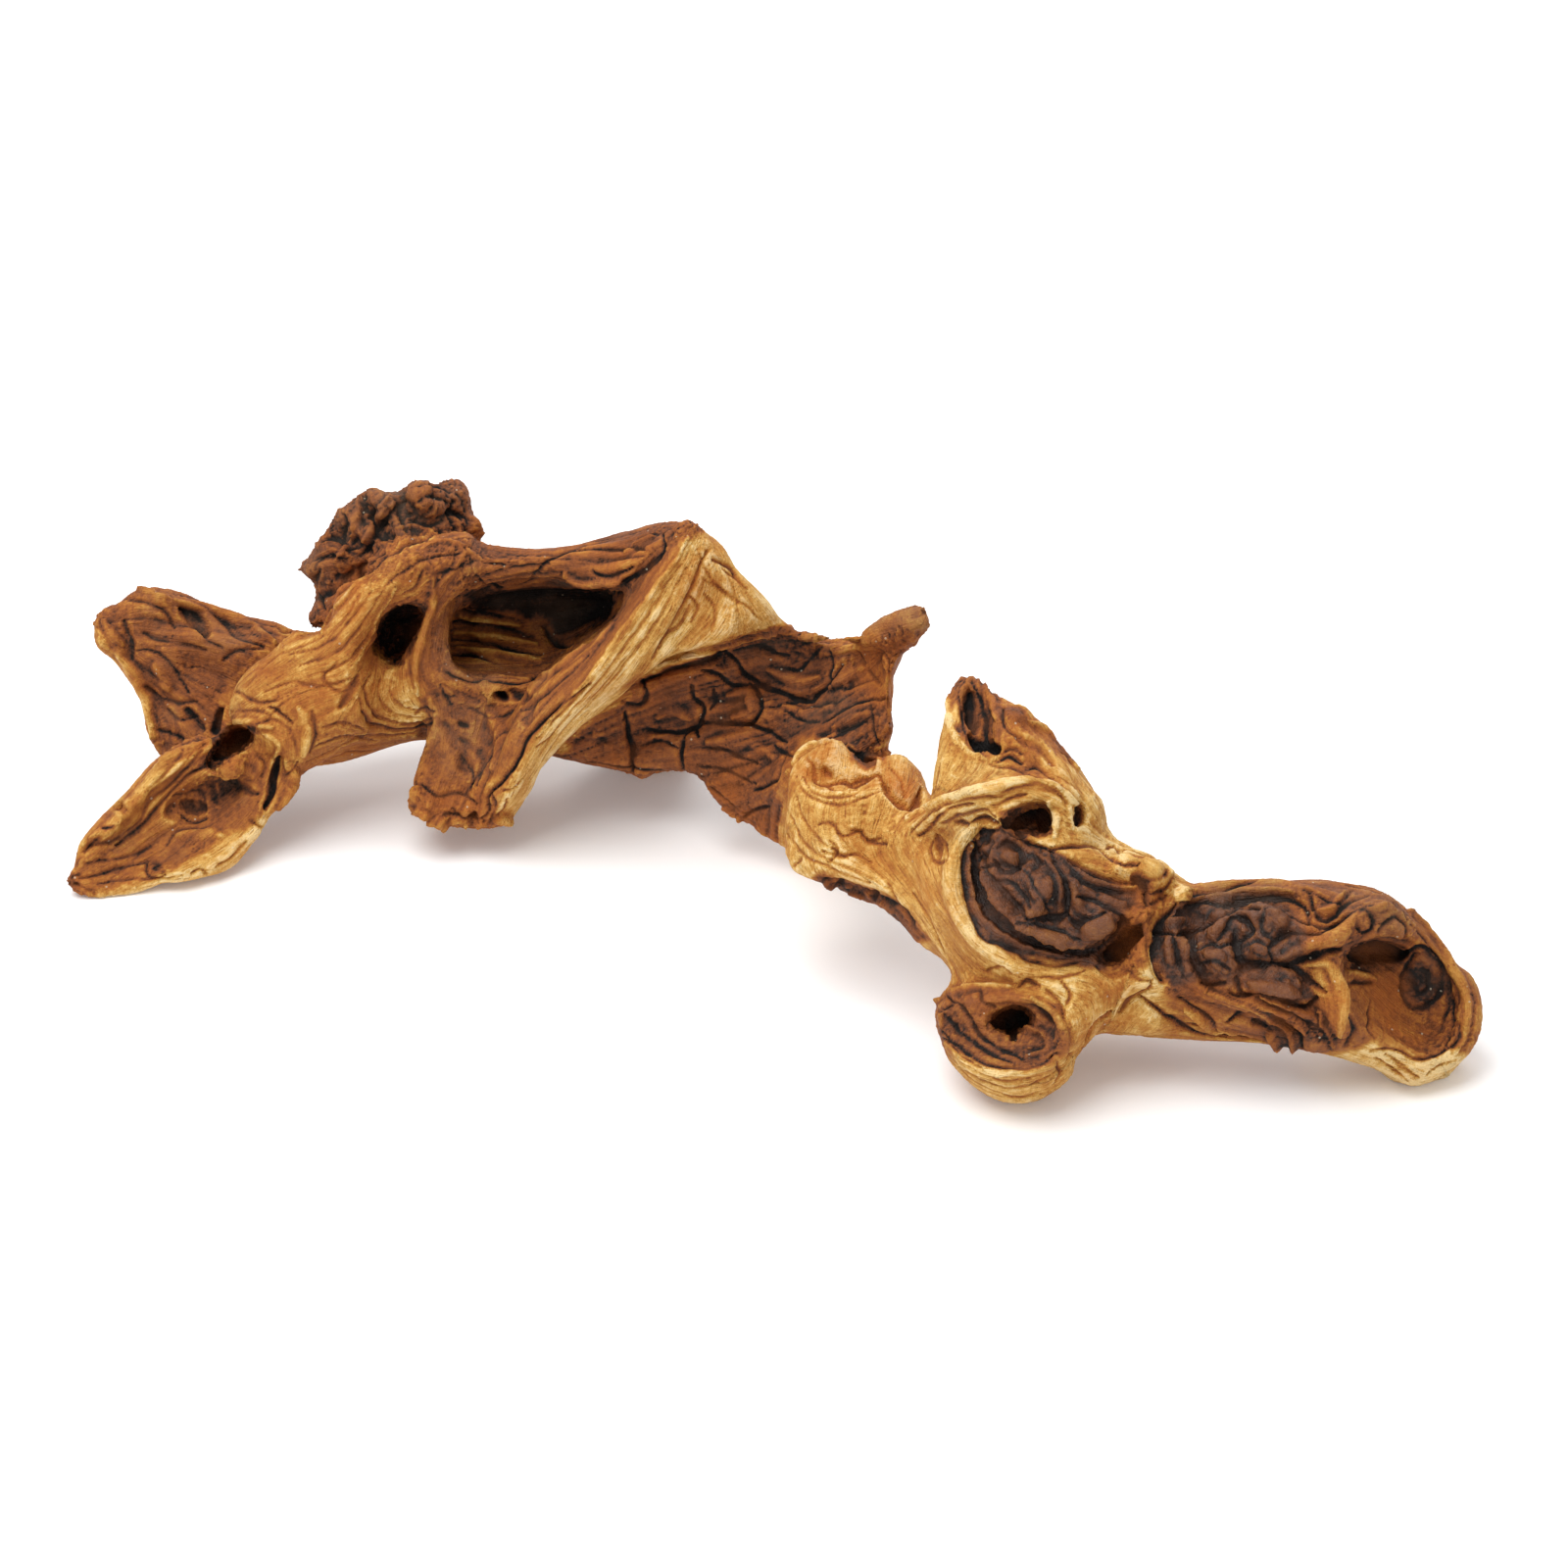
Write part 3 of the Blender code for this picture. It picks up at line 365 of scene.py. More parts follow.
# Tinted regions of the front view: name, tint (rusty above 0, ashen below), softness of the
# edge and outline.
TINTS = (
    ("blade", -0.35, 10, (
        (290, 630), (225, 605), (138, 590), (85, 630), (100, 665), (140, 705), (158, 780),
        (216, 757), (240, 690))),
    ("crest", -0.4, 10, (
        (320, 640), (345, 600), (400, 545), (480, 530), (495, 470), (420, 470), (340, 500),
        (290, 575))),
    ("crest foot", 0.4, 12, (
        (330, 640), (350, 600), (400, 560), (470, 545), (500, 560), (440, 590), (380, 630))),
    ("shoulder", 0.25, 12, (
        (330, 700), (360, 640), (400, 612), (400, 690), (340, 740), (290, 760))),
    ("hollow", -0.6, 5, (
        (462, 606), (500, 594), (575, 588), (640, 600), (626, 640), (566, 700), (500, 703),
        (448, 690))),
    ("front leg", -0.45, 12, (
        (430, 710), (540, 700), (600, 655), (640, 640), (600, 700), (550, 745), (515, 830),
        (430, 840), (410, 800))),
    ("front foot", 0.15, 8, (
        (470, 800), (510, 790), (505, 850), (420, 856), (412, 830))),
    ("swoop", 0.35, 10, (
        (716, 545), (760, 588), (810, 638), (735, 655), (700, 680), (670, 655), (700, 600))),
    ("sheet top", -0.5, 12, (
        (780, 645), (860, 640), (880, 690), (850, 740), (800, 760), (790, 700))),
    ("sheet side", 0.6, 12, (
        (880, 640), (925, 640), (905, 720), (890, 740), (870, 700))),
    ("horn", -0.8, 6, (
        (876, 648), (896, 630), (930, 608), (954, 618), (950, 640), (920, 650), (896, 652))),
    ("stump break", 1.0, 4, (
        (812, 792), (826, 764), (850, 750), (872, 780), (905, 770), (940, 780), (944, 812),
        (930, 824), (900, 800), (850, 806), (826, 798))),
    ("prong", 0.5, 10, (
        (1030, 740), (1060, 750), (1110, 800), (1090, 806), (1040, 786))),
    ("beside the burl", 0.5, 8, (
        (1100, 872), (1160, 890), (1180, 930), (1160, 985), (1140, 970), (1150, 920))),
    ("knob mouth", 0.35, 8, (
        (975, 1008), (1030, 1010), (1078, 1030), (1060, 1060), (1000, 1040))),
    ("limb top", -0.7, 12, (
        (1230, 905), (1300, 892), (1400, 898), (1460, 935), (1430, 950), (1330, 925), (1240, 930))),
    ("folds", 0.7, 8, (
        (1255, 990), (1300, 985), (1370, 1000), (1380, 1060), (1310, 1050), (1270, 1020))),
    ("spoon", 0.55, 10, (
        (1372, 1010), (1440, 995), (1480, 1040), (1450, 1070), (1400, 1062))),
)

# Strokes that are laid on the wood: half width (mm), height (mm, sunk if below 0), how dark
# the line is painted (0 to 1) and its spots. The darkness is painted shade in the cracks and
# hollows that sunk strokes cut, and the wood's own dark colour on raised knots and lumps.

# The long trough-shaped leg on the left
LEFT_LEG_STROKES = (
    (2.0, -3.0, 1.0, ((284, 772), (280, 788), (276, 804), (271, 826))),
    (3.0, 1.6, 0.0, ((292, 776), (301, 798), (292, 816), (279, 834))),
    (1.6, 1.2, 0.0, ((284, 764), (278, 786), (270, 812), (262, 836))),
    (1.0, -1.0, 0.39, ((293, 790), (300, 784), (303, 778))),
    (3.0, 2.4, 0.0, (
        (212, 757), (190, 765), (170, 775), (155, 795), (138, 815), (112, 842), (94, 856))),
    (1.5, -1.6, 0.36, (
        (206, 766), (190, 784), (172, 802), (152, 818), (140, 840), (118, 856), (100, 863))),
    (1.0, -1.0, 0.33, ((196, 770), (182, 786), (166, 800), (150, 812))),
    (1.0, -0.8, 0.33, ((188, 766), (170, 788), (150, 806), (132, 822))),
    (1.6, -1.6, 0.9, ((106, 845), (112, 845))),
    (1.4, -1.0, 0.52, ((91, 857), (104, 857))),
    (8.0, -4.0, 0.13, ((176, 828), (204, 812), (238, 800))),
    (3.6, 2.4, 0.0, ((214, 762), (180, 782), (152, 806), (126, 834), (104, 856))),
    (1.6, -2.4, 0.39, ((216, 780), (192, 792), (168, 816), (146, 842), (120, 862))),
    (0.9, -0.9, 0.39, ((176, 814), (196, 815), (214, 811))),
    (1.0, -1.1, 0.52, ((189, 834), (199, 838), (209, 834))),
    (2.5, -1.5, 0.33, ((190, 826), (208, 826))),
    (3.0, 0.8, 0.0, ((222, 786), (242, 784), (258, 792))),
    (2.5, -1.4, 0.26, ((214, 798), (240, 800), (262, 810))),
    (3.5, 1.3, 0.0, ((182, 852), (204, 850), (226, 852))),
    (0.9, -0.9, 0.33, ((168, 862), (182, 848), (210, 844))),
    (1.1, -1.2, 0.39, ((80, 896), (102, 892), (126, 885), (152, 878))),
    (1.0, -0.9, 0.33, ((86, 882), (112, 878), (142, 870), (160, 858))),
    (0.9, -0.8, 0.26, ((100, 902), (130, 896), (162, 898), (185, 893))),
    (2.4, 0.9, 0.35, ((156, 884), (162, 888))),
    (0.9, -1.0, 0.52, ((150, 878), (150, 890), (160, 897), (170, 892))),
    (1.4, -0.8, 0.9, ((64, 896), (80, 892))),
    (1.2, -0.8, 0.52, ((70, 902), (82, 905), (96, 913))),
    (1.6, -1.5, 0.45, ((196, 892), (206, 888), (211, 893))),
    (1.6, -1.5, 0.45, ((257, 838), (266, 843), (276, 845))),
    (1.1, -1.0, 0.33, ((220, 885), (236, 876), (250, 858))),
    (2.2, -3.5, 1.0, ((226, 722), (221, 738), (218, 756), (212, 776))),
    (3.0, -3.5, 1.0, ((220, 774), (236, 760), (254, 746))),
    (2.8, -3.5, 0.2, ((116, 818), (126, 826))),
    (2.6, -3.2, 0.26, ((82, 866), (94, 862))),
    (1.4, -2.4, 0.9, ((62, 894), (74, 896))),
    (1.2, -2.0, 0.9, ((66, 906), (76, 903))),
    (1.0, -1.0, 0.9, ((157, 885), (161, 887))),
    (1.8, 1.6, 0.0, ((230, 741), (244, 734), (262, 738), (276, 742))),
    (1.6, 1.0, 0.0, ((268, 748), (284, 758), (282, 772))),
    (1.2, -1.0, 0.33, ((262, 770), (272, 780), (268, 792))),
)
# The upright blade
BLADE_STROKES = (
    (4.0, -3.0, 0.38, ((186, 622), (200, 632), (211, 645))),
    (1.2, -1.2, 0.68, ((181, 617), (198, 624), (210, 634))),
    (3.0, 1.6, 0.0, ((142, 603), (180, 611), (220, 622), (258, 640), (280, 656))),
    (1.6, -1.5, 0.38, ((222, 628), (240, 646), (268, 660))),
    (1.5, -1.4, 0.45, ((206, 640), (212, 652), (226, 661))),
    (1.4, -1.2, 0.38, ((228, 674), (244, 664), (268, 662))),
    (1.6, -1.4, 0.38, ((146, 646), (176, 656), (208, 664))),
    (3.5, 2.2, 0.0, ((106, 634), (118, 654), (128, 674), (146, 706), (158, 752))),
    (1.6, -1.8, 0.45, ((126, 634), (133, 654), (134, 672))),
    (1.3, -1.2, 0.45, ((140, 664), (162, 667), (184, 690), (192, 706))),
    (4.0, 1.8, 0.0, ((160, 680), (172, 700))),
    (1.5, -1.3, 0.38, ((150, 700), (172, 716), (200, 716))),
    (3.0, -2.0, 0.38, ((190, 724), (206, 744))),
    (1.6, -1.5, 0.45, ((158, 744), (174, 748), (186, 754))),
    (1.2, -1.2, 0.38, ((170, 724), (184, 734), (200, 730))),
    (1.8, -2.2, 0.68, ((288, 645), (310, 642), (330, 637))),
    (1.5, -1.5, 0.38, ((112, 612), (140, 612), (166, 622), (178, 640))),
    (1.1, -1.0, 0.38, ((160, 606), (196, 614), (226, 630), (252, 650))),
)
# The knobbly crest
CREST_STROKES = (
    (1.2, -1.6, 0.5, ((312, 574), (332, 566), (352, 562), (366, 560))),
    (1.2, -1.6, 0.5, ((326, 552), (342, 548), (356, 556))),
    (1.2, -1.6, 0.5, ((346, 522), (352, 534), (350, 548))),
    (1.3, -1.8, 0.5, ((398, 500), (386, 512), (380, 524), (384, 540))),
    (1.3, -1.8, 0.5, ((410, 512), (400, 526), (388, 538), (378, 556), (368, 566))),
    (1.2, -1.5, 0.5, ((384, 540), (394, 550), (402, 546))),
    (1.2, -1.4, 0.4, ((322, 582), (326, 572), (344, 570), (358, 572))),
    (1.2, -1.6, 0.4, ((326, 582), (322, 600), (330, 622))),
    (1.2, -1.5, 0.3, ((376, 570), (366, 584), (366, 592))),
    (2.4, 1.6, 0.0, ((366, 514), (362, 532), (362, 548))),
    (2.4, 1.6, 0.0, ((392, 520), (384, 532), (372, 552))),
    (2.4, 1.4, 0.0, ((334, 558), (352, 568), (364, 578))),
    (6.0, 2.2, 0.0, ((432, 516), (448, 520))),
    (6.0, 3.4, 0.0, ((422, 504), (434, 500))),
    (4.5, 3.2, 0.0, ((480, 534), (484, 546))),
    (1.2, -1.3, 0.4, ((412, 512), (408, 526), (414, 544))),
    (1.2, -1.1, 0.4, ((424, 500), (446, 496), (468, 506), (474, 524))),
    (1.0, -1.0, 0.7, ((438, 506), (448, 510))),
    (1.0, -1.0, 0.7, ((456, 506), (464, 512))),
    (1.0, -1.2, 0.6, ((462, 520), (470, 530))),
    (1.2, -1.2, 0.3, ((432, 552), (446, 542), (466, 540))),
    (1.6, -1.8, 0.6, ((336, 622), (350, 602), (376, 584), (396, 566), (414, 556), (430, 552))),
    (1.2, -1.1, 0.3, ((316, 612), (336, 606), (352, 594))),
    (1.2, -1.1, 0.3, ((340, 586), (356, 588), (362, 576))),
    (1.1, -1.3, 0.3, ((424, 512), (440, 506), (458, 514))),
    (1.1, -1.3, 0.3, ((446, 528), (462, 522), (478, 532))),
    (1.1, -1.3, 0.3, ((418, 530), (436, 536), (452, 531))),
    (1.1, -1.3, 0.3, ((398, 549), (420, 547), (440, 553))),
    (1.1, -1.3, 0.3, ((350, 590), (372, 577), (392, 562))),
    (1.1, -1.3, 0.3, ((438, 494), (442, 508), (436, 522))),
    (1.1, -1.3, 0.3, ((464, 512), (458, 526), (466, 542))),
    (1.6, 1.3, 0.0, ((404, 540), (424, 537), (446, 544))),
    (1.6, 1.3, 0.0, ((430, 560), (452, 551), (476, 556))),
    (1.6, 1.3, 0.0, ((340, 574), (352, 560), (362, 544))),
    (1.6, 1.2, 0.0, ((306, 590), (318, 600), (316, 620))),
)
# The shoulder
SHOULDER_STROKES = (
    (1.5, 1.2, 0.0, ((404, 600), (388, 626), (376, 650), (362, 676))),
    (0.9, -0.8, 0.4, ((398, 606), (384, 634), (366, 662), (344, 680), (312, 690))),
    (0.9, -0.8, 0.35, ((390, 604), (368, 640), (346, 664), (306, 678))),
    (0.9, -0.7, 0.3, ((380, 600), (356, 634), (334, 656), (296, 668))),
    (0.9, -0.7, 0.3, ((366, 606), (344, 640), (316, 656), (280, 672), (252, 700))),
    (0.9, -0.7, 0.3, ((362, 690), (330, 700), (300, 696), (270, 706))),
    (0.9, -0.9, 0.5, ((344, 676), (330, 690), (340, 704), (356, 706))),
    (1.1, -1.2, 0.9, ((281, 726), (290, 732), (297, 738))),
    (1.0, -1.0, 0.8, ((276, 722), (284, 725))),
    (1.0, -0.8, 0.4, ((262, 738), (280, 735), (295, 744), (303, 760))),
    (3.5, 1.6, 0.0, ((306, 722), (313, 746), (309, 770))),
    (1.2, -0.9, 0.5, ((318, 726), (322, 748), (316, 768))),
    (3.0, -1.6, 0.5, ((348, 722), (360, 704), (366, 690))),
    (1.0, -0.9, 0.5, ((380, 688), (373, 704), (380, 724), (398, 737), (424, 739), (440, 733))),
    (0.9, -0.7, 0.4, ((390, 690), (386, 706), (394, 722), (410, 731), (432, 732))),
    (0.9, -0.7, 0.3, ((400, 692), (398, 706), (408, 720), (424, 726))),
    (1.4, -1.4, 0.6, ((368, 714), (376, 734), (398, 746), (428, 744), (442, 736))),
    (1.0, -0.9, 0.4, ((314, 778), (340, 766), (370, 752), (400, 752), (426, 748))),
    (1.0, -0.9, 0.4, ((326, 742), (350, 738), (372, 746))),
    (1.0, -0.9, 0.4, ((322, 762), (350, 752), (382, 756))),
    (1.0, -0.9, 0.35, ((330, 776), (356, 768), (384, 766), (404, 758))),
    (1.1, -1.0, 0.5, ((240, 704), (262, 716), (284, 714))),
    (0.9, -0.7, 0.3, ((232, 726), (256, 724), (276, 730))),
    (1.5, 1.0, 0.0, ((432, 548), (404, 560), (372, 590), (344, 620), (330, 646))),
    (1.0, -0.8, 0.4, ((470, 562), (436, 570), (404, 590), (392, 600))),
    (1.0, -0.8, 0.4, ((486, 572), (456, 584), (434, 586))),
    (1.2, -1.2, 0.5, ((430, 584), (424, 600), (412, 606))),
)
# The hollow log with its window, its side hollow and its borer hole
LOG_STROKES = (
    (2.0, 1.4, 0.0, ((442, 590), (441, 618), (432, 648), (424, 680), (426, 708))),
    (1.6, -1.8, 1.0, (
        (456, 686), (470, 693), (482, 696), (494, 690), (506, 694), (532, 696), (552, 688))),
    (1.4, -1.5, 0.9, ((556, 684), (572, 670), (590, 661))),
    (1.0, -0.9, 0.6, ((562, 676), (576, 668), (590, 664))),
    (2.6, -7.0, 1.0, ((510, 711), (513, 711))),
    (3.4, 2.6, 0.0, ((425, 806), (424, 822), (436, 832))),
    (2.4, 3.2, 0.0, ((450, 838), (458, 845))),
    (3.2, 2.8, 0.0, ((508, 836), (522, 838))),
    (2.6, -2.6, 0.3, ((480, 844), (484, 832))),
    (3.0, -2.2, 0.2, ((428, 740), (436, 760))),
    (1.5, -2.4, 0.9, ((469, 738), (476, 740))),
    (1.2, -2.0, 1.0, (
        (602, 698), (578, 716), (556, 734), (538, 752), (528, 776), (514, 796), (500, 810),
        (498, 822))),
    (1.0, -1.2, 0.8, ((498, 814), (500, 828), (490, 836))),
    (1.2, -1.2, 0.7, ((446, 836), (458, 831), (474, 836), (488, 838))),
    (1.2, -1.0, 0.7, ((508, 832), (516, 824), (518, 816))),
    (2.0, 1.2, 0.0, ((452, 842), (466, 838), (484, 838))),
    (0.9, -1.0, 0.7, ((447, 698), (455, 712), (466, 710))),
    (0.9, -1.0, 0.7, ((455, 712), (461, 720))),
    (1.0, -1.1, 0.7, ((424, 728), (434, 722), (444, 724))),
    (2.5, -1.0, 0.2, ((470, 752), (492, 772), (486, 800))),
    (2.5, 1.2, 0.0, ((500, 716), (536, 716), (560, 700), (596, 668), (626, 636))),
    (0.9, -0.8, 0.4, ((470, 718), (500, 732), (530, 724), (560, 706), (600, 668))),
    (0.9, -0.8, 0.4, ((560, 730), (600, 690), (636, 646), (660, 610))),
    (1.0, -0.8, 0.4, ((520, 742), (506, 764), (480, 800), (470, 826))),
    (1.2, -1.5, 0.9, ((548, 584), (562, 570), (580, 563), (596, 562))),
    (1.2, -1.2, 0.8, ((538, 592), (548, 582))),
    (1.1, -1.2, 0.8, ((596, 562), (618, 561), (642, 561), (664, 562))),
    (1.2, -1.5, 0.9, ((606, 582), (614, 588), (630, 586), (646, 578))),
    (1.3, -1.8, 1.0, ((677, 546), (676, 562), (664, 576), (648, 588), (632, 600))),
    (2.6, 2.0, 0.0, ((578, 584), (590, 594), (612, 596), (632, 592))),
    (2.6, 1.8, 0.0, ((640, 566), (656, 556), (668, 550))),
    (1.8, 1.2, 0.0, ((478, 600), (510, 590), (546, 586), (572, 584))),
    (1.2, -1.3, 0.9, ((488, 588), (496, 596), (514, 599), (540, 593), (562, 590))),
    (0.9, -0.8, 0.4, ((520, 566), (560, 566), (600, 556), (640, 544), (676, 534))),
    (0.9, -0.8, 0.4, ((500, 576), (530, 578), (560, 576))),
    (1.0, -0.9, 0.5, ((612, 572), (640, 570), (660, 566))),
    (1.6, -2.2, 0.9, ((458, 652), (482, 654), (504, 657), (530, 663), (552, 668))),
    (1.6, -2.2, 0.9, ((464, 636), (490, 638), (520, 643), (544, 650))),
    (1.5, -2.0, 0.9, ((464, 668), (486, 669), (506, 677))),
    (1.5, -2.0, 0.9, ((470, 622), (494, 628), (524, 632))),
    (2.2, 2.0, 0.0, ((464, 646), (492, 647), (520, 652), (548, 658))),
    (2.2, 2.0, 0.0, ((466, 662), (496, 666), (530, 672), (552, 677))),
    (2.2, 2.0, 0.0, ((470, 629), (500, 634), (530, 638))),
    (1.8, -2.6, 0.8, ((558, 640), (564, 652), (572, 657), (592, 656))),
)
# The pale ridge and the flap above the window
RIDGE_STROKES = (
    (1.4, -1.6, 0.5, ((722, 562), (714, 584), (704, 606), (692, 630), (678, 654), (666, 672))),
    (1.0, -1.0, 0.5, ((704, 618), (696, 636), (682, 650), (674, 664))),
    (1.2, -1.5, 0.8, ((728, 571), (744, 577), (752, 588))),
    (1.0, -1.0, 0.6, ((738, 580), (752, 590), (762, 600))),
    (0.9, -0.9, 0.5, ((702, 608), (712, 618), (706, 634))),
    (0.9, -0.8, 0.4, ((720, 606), (730, 622), (726, 644))),
    (0.9, -0.8, 0.3, ((716, 590), (750, 610), (776, 632))),
    (0.9, -0.8, 0.3, ((712, 560), (726, 590), (752, 616))),
    (2.2, 1.8, 0.0, ((668, 680), (700, 672), (732, 660), (760, 650), (792, 646))),
    (1.8, -2.2, 0.9, ((656, 697), (680, 684), (704, 680), (728, 674), (740, 664))),
    (1.6, 1.4, 0.0, (
        (703, 548), (682, 582), (656, 618), (628, 654), (600, 692), (570, 724), (546, 752))),
    (0.9, -0.7, 0.3, ((694, 576), (660, 630), (620, 684), (580, 730), (548, 774))),
    (0.9, -0.7, 0.3, ((700, 580), (672, 632), (636, 682), (600, 722))),
    (0.9, -0.7, 0.35, ((640, 670), (604, 714), (572, 750), (540, 800))),
    (0.9, -0.8, 0.5, ((596, 704), (578, 724), (562, 740))),
    (0.9, -0.8, 0.5, ((570, 744), (560, 754), (548, 762))),
    (0.9, -0.8, 0.5, ((512, 806), (524, 806), (540, 786))),
)
# The plank leg in front
FRONT_LEG_STROKES = (
    (5.0, -2.0, 0.2, ((452, 740), (470, 760), (474, 786))),
    (4.5, 2.0, 0.0, ((500, 730), (512, 754), (504, 784))),
    (4.0, -1.6, 0.3, ((524, 706), (540, 718), (536, 738))),
    (4.0, 1.8, 0.0, ((440, 712), (446, 738), (436, 764))),
    (3.5, 1.8, 0.0, ((556, 690), (578, 676), (596, 660))),
    (1.1, -1.2, 0.5, ((430, 800), (446, 812), (470, 810), (486, 820))),
    (1.1, -1.2, 0.5, ((462, 824), (470, 836), (488, 834))),
    (1.1, -1.2, 0.5, ((500, 806), (506, 824), (500, 838))),
    (2.2, 1.8, 0.0, ((424, 832), (440, 838), (456, 834))),
    (2.2, 1.6, 0.0, ((476, 842), (496, 840))),
    (1.0, -1.0, 0.5, ((470, 770), (482, 790), (480, 806))),
)
# The leaning sheet with its horn
SHEET_STROKES = (
    (1.1, -2.0, 0.9, (
        (738, 665), (750, 674), (762, 690), (778, 700), (800, 708), (826, 716), (834, 708),
        (848, 694), (860, 678))),
    (1.0, -1.6, 0.81, ((750, 664), (776, 661), (792, 667), (806, 669))),
    (0.8, -1.3, 0.63, ((802, 683), (816, 683), (828, 672), (839, 661))),
    (1.0, -1.8, 0.81, ((764, 698), (774, 706), (777, 720), (772, 734), (758, 741))),
    (1.0, -1.7, 0.81, ((714, 737), (740, 738), (762, 739), (780, 744), (794, 752), (803, 758))),
    (1.1, -2.0, 0.81, (
        (656, 744), (674, 747), (696, 747), (710, 743), (717, 732), (716, 720), (708, 713),
        (706, 698))),
    (0.9, -1.4, 0.81, ((700, 749), (708, 745), (714, 752))),
    (1.3, -2.2, 0.9, ((638, 726), (642, 742), (645, 762), (646, 784), (641, 796))),
    (1.1, -2.0, 0.9, ((699, 752), (696, 770), (697, 794))),
    (1.0, -1.6, 0.81, ((716, 684), (732, 688), (744, 698), (762, 700))),
    (0.8, -1.2, 0.72, ((728, 704), (730, 716), (724, 722))),
    (1.1, -1.8, 0.81, ((840, 738), (854, 728), (870, 718), (884, 714), (902, 712))),
    (0.9, -1.4, 0.63, ((842, 754), (860, 746), (882, 736))),
    (0.8, -1.2, 0.54, ((802, 726), (818, 734), (836, 737))),
    (0.9, -1.4, 0.72, ((790, 760), (800, 768), (811, 772))),
    (1.2, -1.8, 0.81, ((768, 806), (780, 802), (793, 796), (797, 782), (801, 770))),
    (1.0, -1.6, 0.72, ((758, 834), (768, 828), (784, 823))),
    (0.8, -1.0, 0.45, ((812, 662), (834, 655), (862, 656))),
    (0.8, -1.1, 0.45, ((862, 704), (878, 696), (896, 690))),
    (1.1, -1.8, 0.81, ((634, 716), (652, 720), (660, 708), (655, 694))),
    (0.8, -1.1, 0.54, ((596, 776), (640, 783), (690, 790), (728, 806), (756, 828))),
    (2.4, 1.6, 0.0, ((600, 790), (640, 794), (690, 800), (736, 820), (764, 842), (792, 862))),
    (3.0, 1.8, 0.0, ((784, 684), (812, 694), (836, 692))),
    (3.0, 1.6, 0.0, ((744, 710), (762, 706), (768, 724), (748, 732))),
    (3.0, 1.6, 0.0, ((672, 732), (690, 726), (704, 732))),
    (4.0, 1.8, 0.0, ((724, 758), (760, 756), (790, 772))),
    (3.0, 1.5, 0.0, ((846, 700), (868, 690), (884, 680))),
    (3.0, 1.5, 0.0, ((800, 720), (820, 728), (850, 722))),
    (2.5, 1.3, 0.0, ((850, 742), (872, 732), (892, 726))),
    (8.0, 3.6, 0.0, ((890, 652), (910, 642), (928, 635), (938, 632))),
    (0.8, -1.1, 0.54, ((846, 660), (850, 678), (846, 690), (850, 706))),
    (0.8, -1.1, 0.45, ((876, 664), (884, 680), (898, 700))),
    (1.3, -1.4, 0.54, ((900, 664), (908, 684), (906, 702))),
    (1.0, -1.2, 0.45, ((888, 716), (890, 740), (896, 760))),
    (0.8, -1.0, 0.54, ((706, 762), (740, 766), (776, 780))),
    (0.8, -1.0, 0.45, ((712, 780), (744, 788), (770, 800))),
    (0.8, -1.0, 0.45, ((656, 760), (676, 756), (692, 764))),
)
# The stump
STUMP_STROKES = (
    (1.0, -1.3, 0.8, (
        (822, 772), (830, 786), (832, 798), (846, 800), (860, 798), (870, 803), (884, 797),
        (896, 790), (900, 802))),
    (1.8, -1.8, 0.9, ((841, 788), (846, 791))),
    (1.2, -1.3, 0.8, ((844, 802), (850, 806))),
    (2.2, -2.0, 1.0, ((862, 762), (872, 771), (884, 778), (900, 775))),
    (1.3, -1.2, 0.8, ((868, 800), (884, 794), (896, 792))),
    (0.9, -0.8, 0.4, ((812, 790), (818, 804), (836, 817), (860, 820), (884, 812), (904, 804))),
    (0.9, -0.8, 0.4, ((820, 792), (828, 806), (844, 813), (866, 812), (886, 803))),
    (0.9, -0.9, 0.7, (
        (826, 846), (838, 840), (852, 842), (860, 852), (876, 849), (886, 858), (904, 862))),
    (0.9, -0.8, 0.6, ((846, 858), (854, 866), (852, 872))),
    (0.9, -0.7, 0.4, ((804, 826), (816, 854), (842, 876), (880, 892), (906, 908))),
    (0.9, -0.7, 0.4, ((802, 850), (820, 872), (852, 888), (888, 902))),
    (0.9, -0.7, 0.4, ((810, 806), (820, 836), (842, 862), (872, 880))),
    (1.6, -1.2, 0.6, ((842, 898), (870, 902), (892, 912), (918, 926), (932, 940))),
    (2.6, -2.6, 0.3, ((900, 800), (914, 816), (932, 822), (944, 800))),
    (2.0, 1.4, 0.0, ((806, 790), (822, 764), (846, 756))),
    (1.5, 1.5, 0.0, ((896, 784), (904, 766), (918, 762))),
    (1.8, 1.5, 0.4, ((866, 762), (872, 768))),
    (2.4, 2.8, 0.2, ((802, 872), (806, 884))),
    (2.0, 1.8, 0.3, ((843, 901), (848, 904))),
    (2.0, 2.0, 0.3, ((868, 910), (880, 914))),
    (2.0, 1.6, 0.3, ((902, 920), (912, 928))),
    (1.6, -2.0, 0.5, ((856, 908), (860, 900))),
    (1.6, -2.0, 0.5, ((890, 920), (893, 908))),
    (1.8, 1.4, 0.4, ((884, 772), (892, 774))),
    (1.0, -1.2, 0.6, ((838, 868), (856, 874), (872, 870), (888, 878))),
    (1.0, -1.0, 0.5, ((868, 846), (880, 850), (884, 858), (898, 856))),
    (1.2, -1.3, 0.7, ((848, 866), (852, 872), (846, 878))),
    (1.0, -0.9, 0.5, ((908, 782), (920, 796), (924, 814))),
    (1.0, -0.9, 0.5, ((800, 870), (806, 884), (816, 878))),
    (1.0, -0.8, 0.5, ((906, 902), (916, 922), (926, 930))),
    (1.0, -0.8, 0.4, ((930, 910), (946, 936), (966, 980))),
)
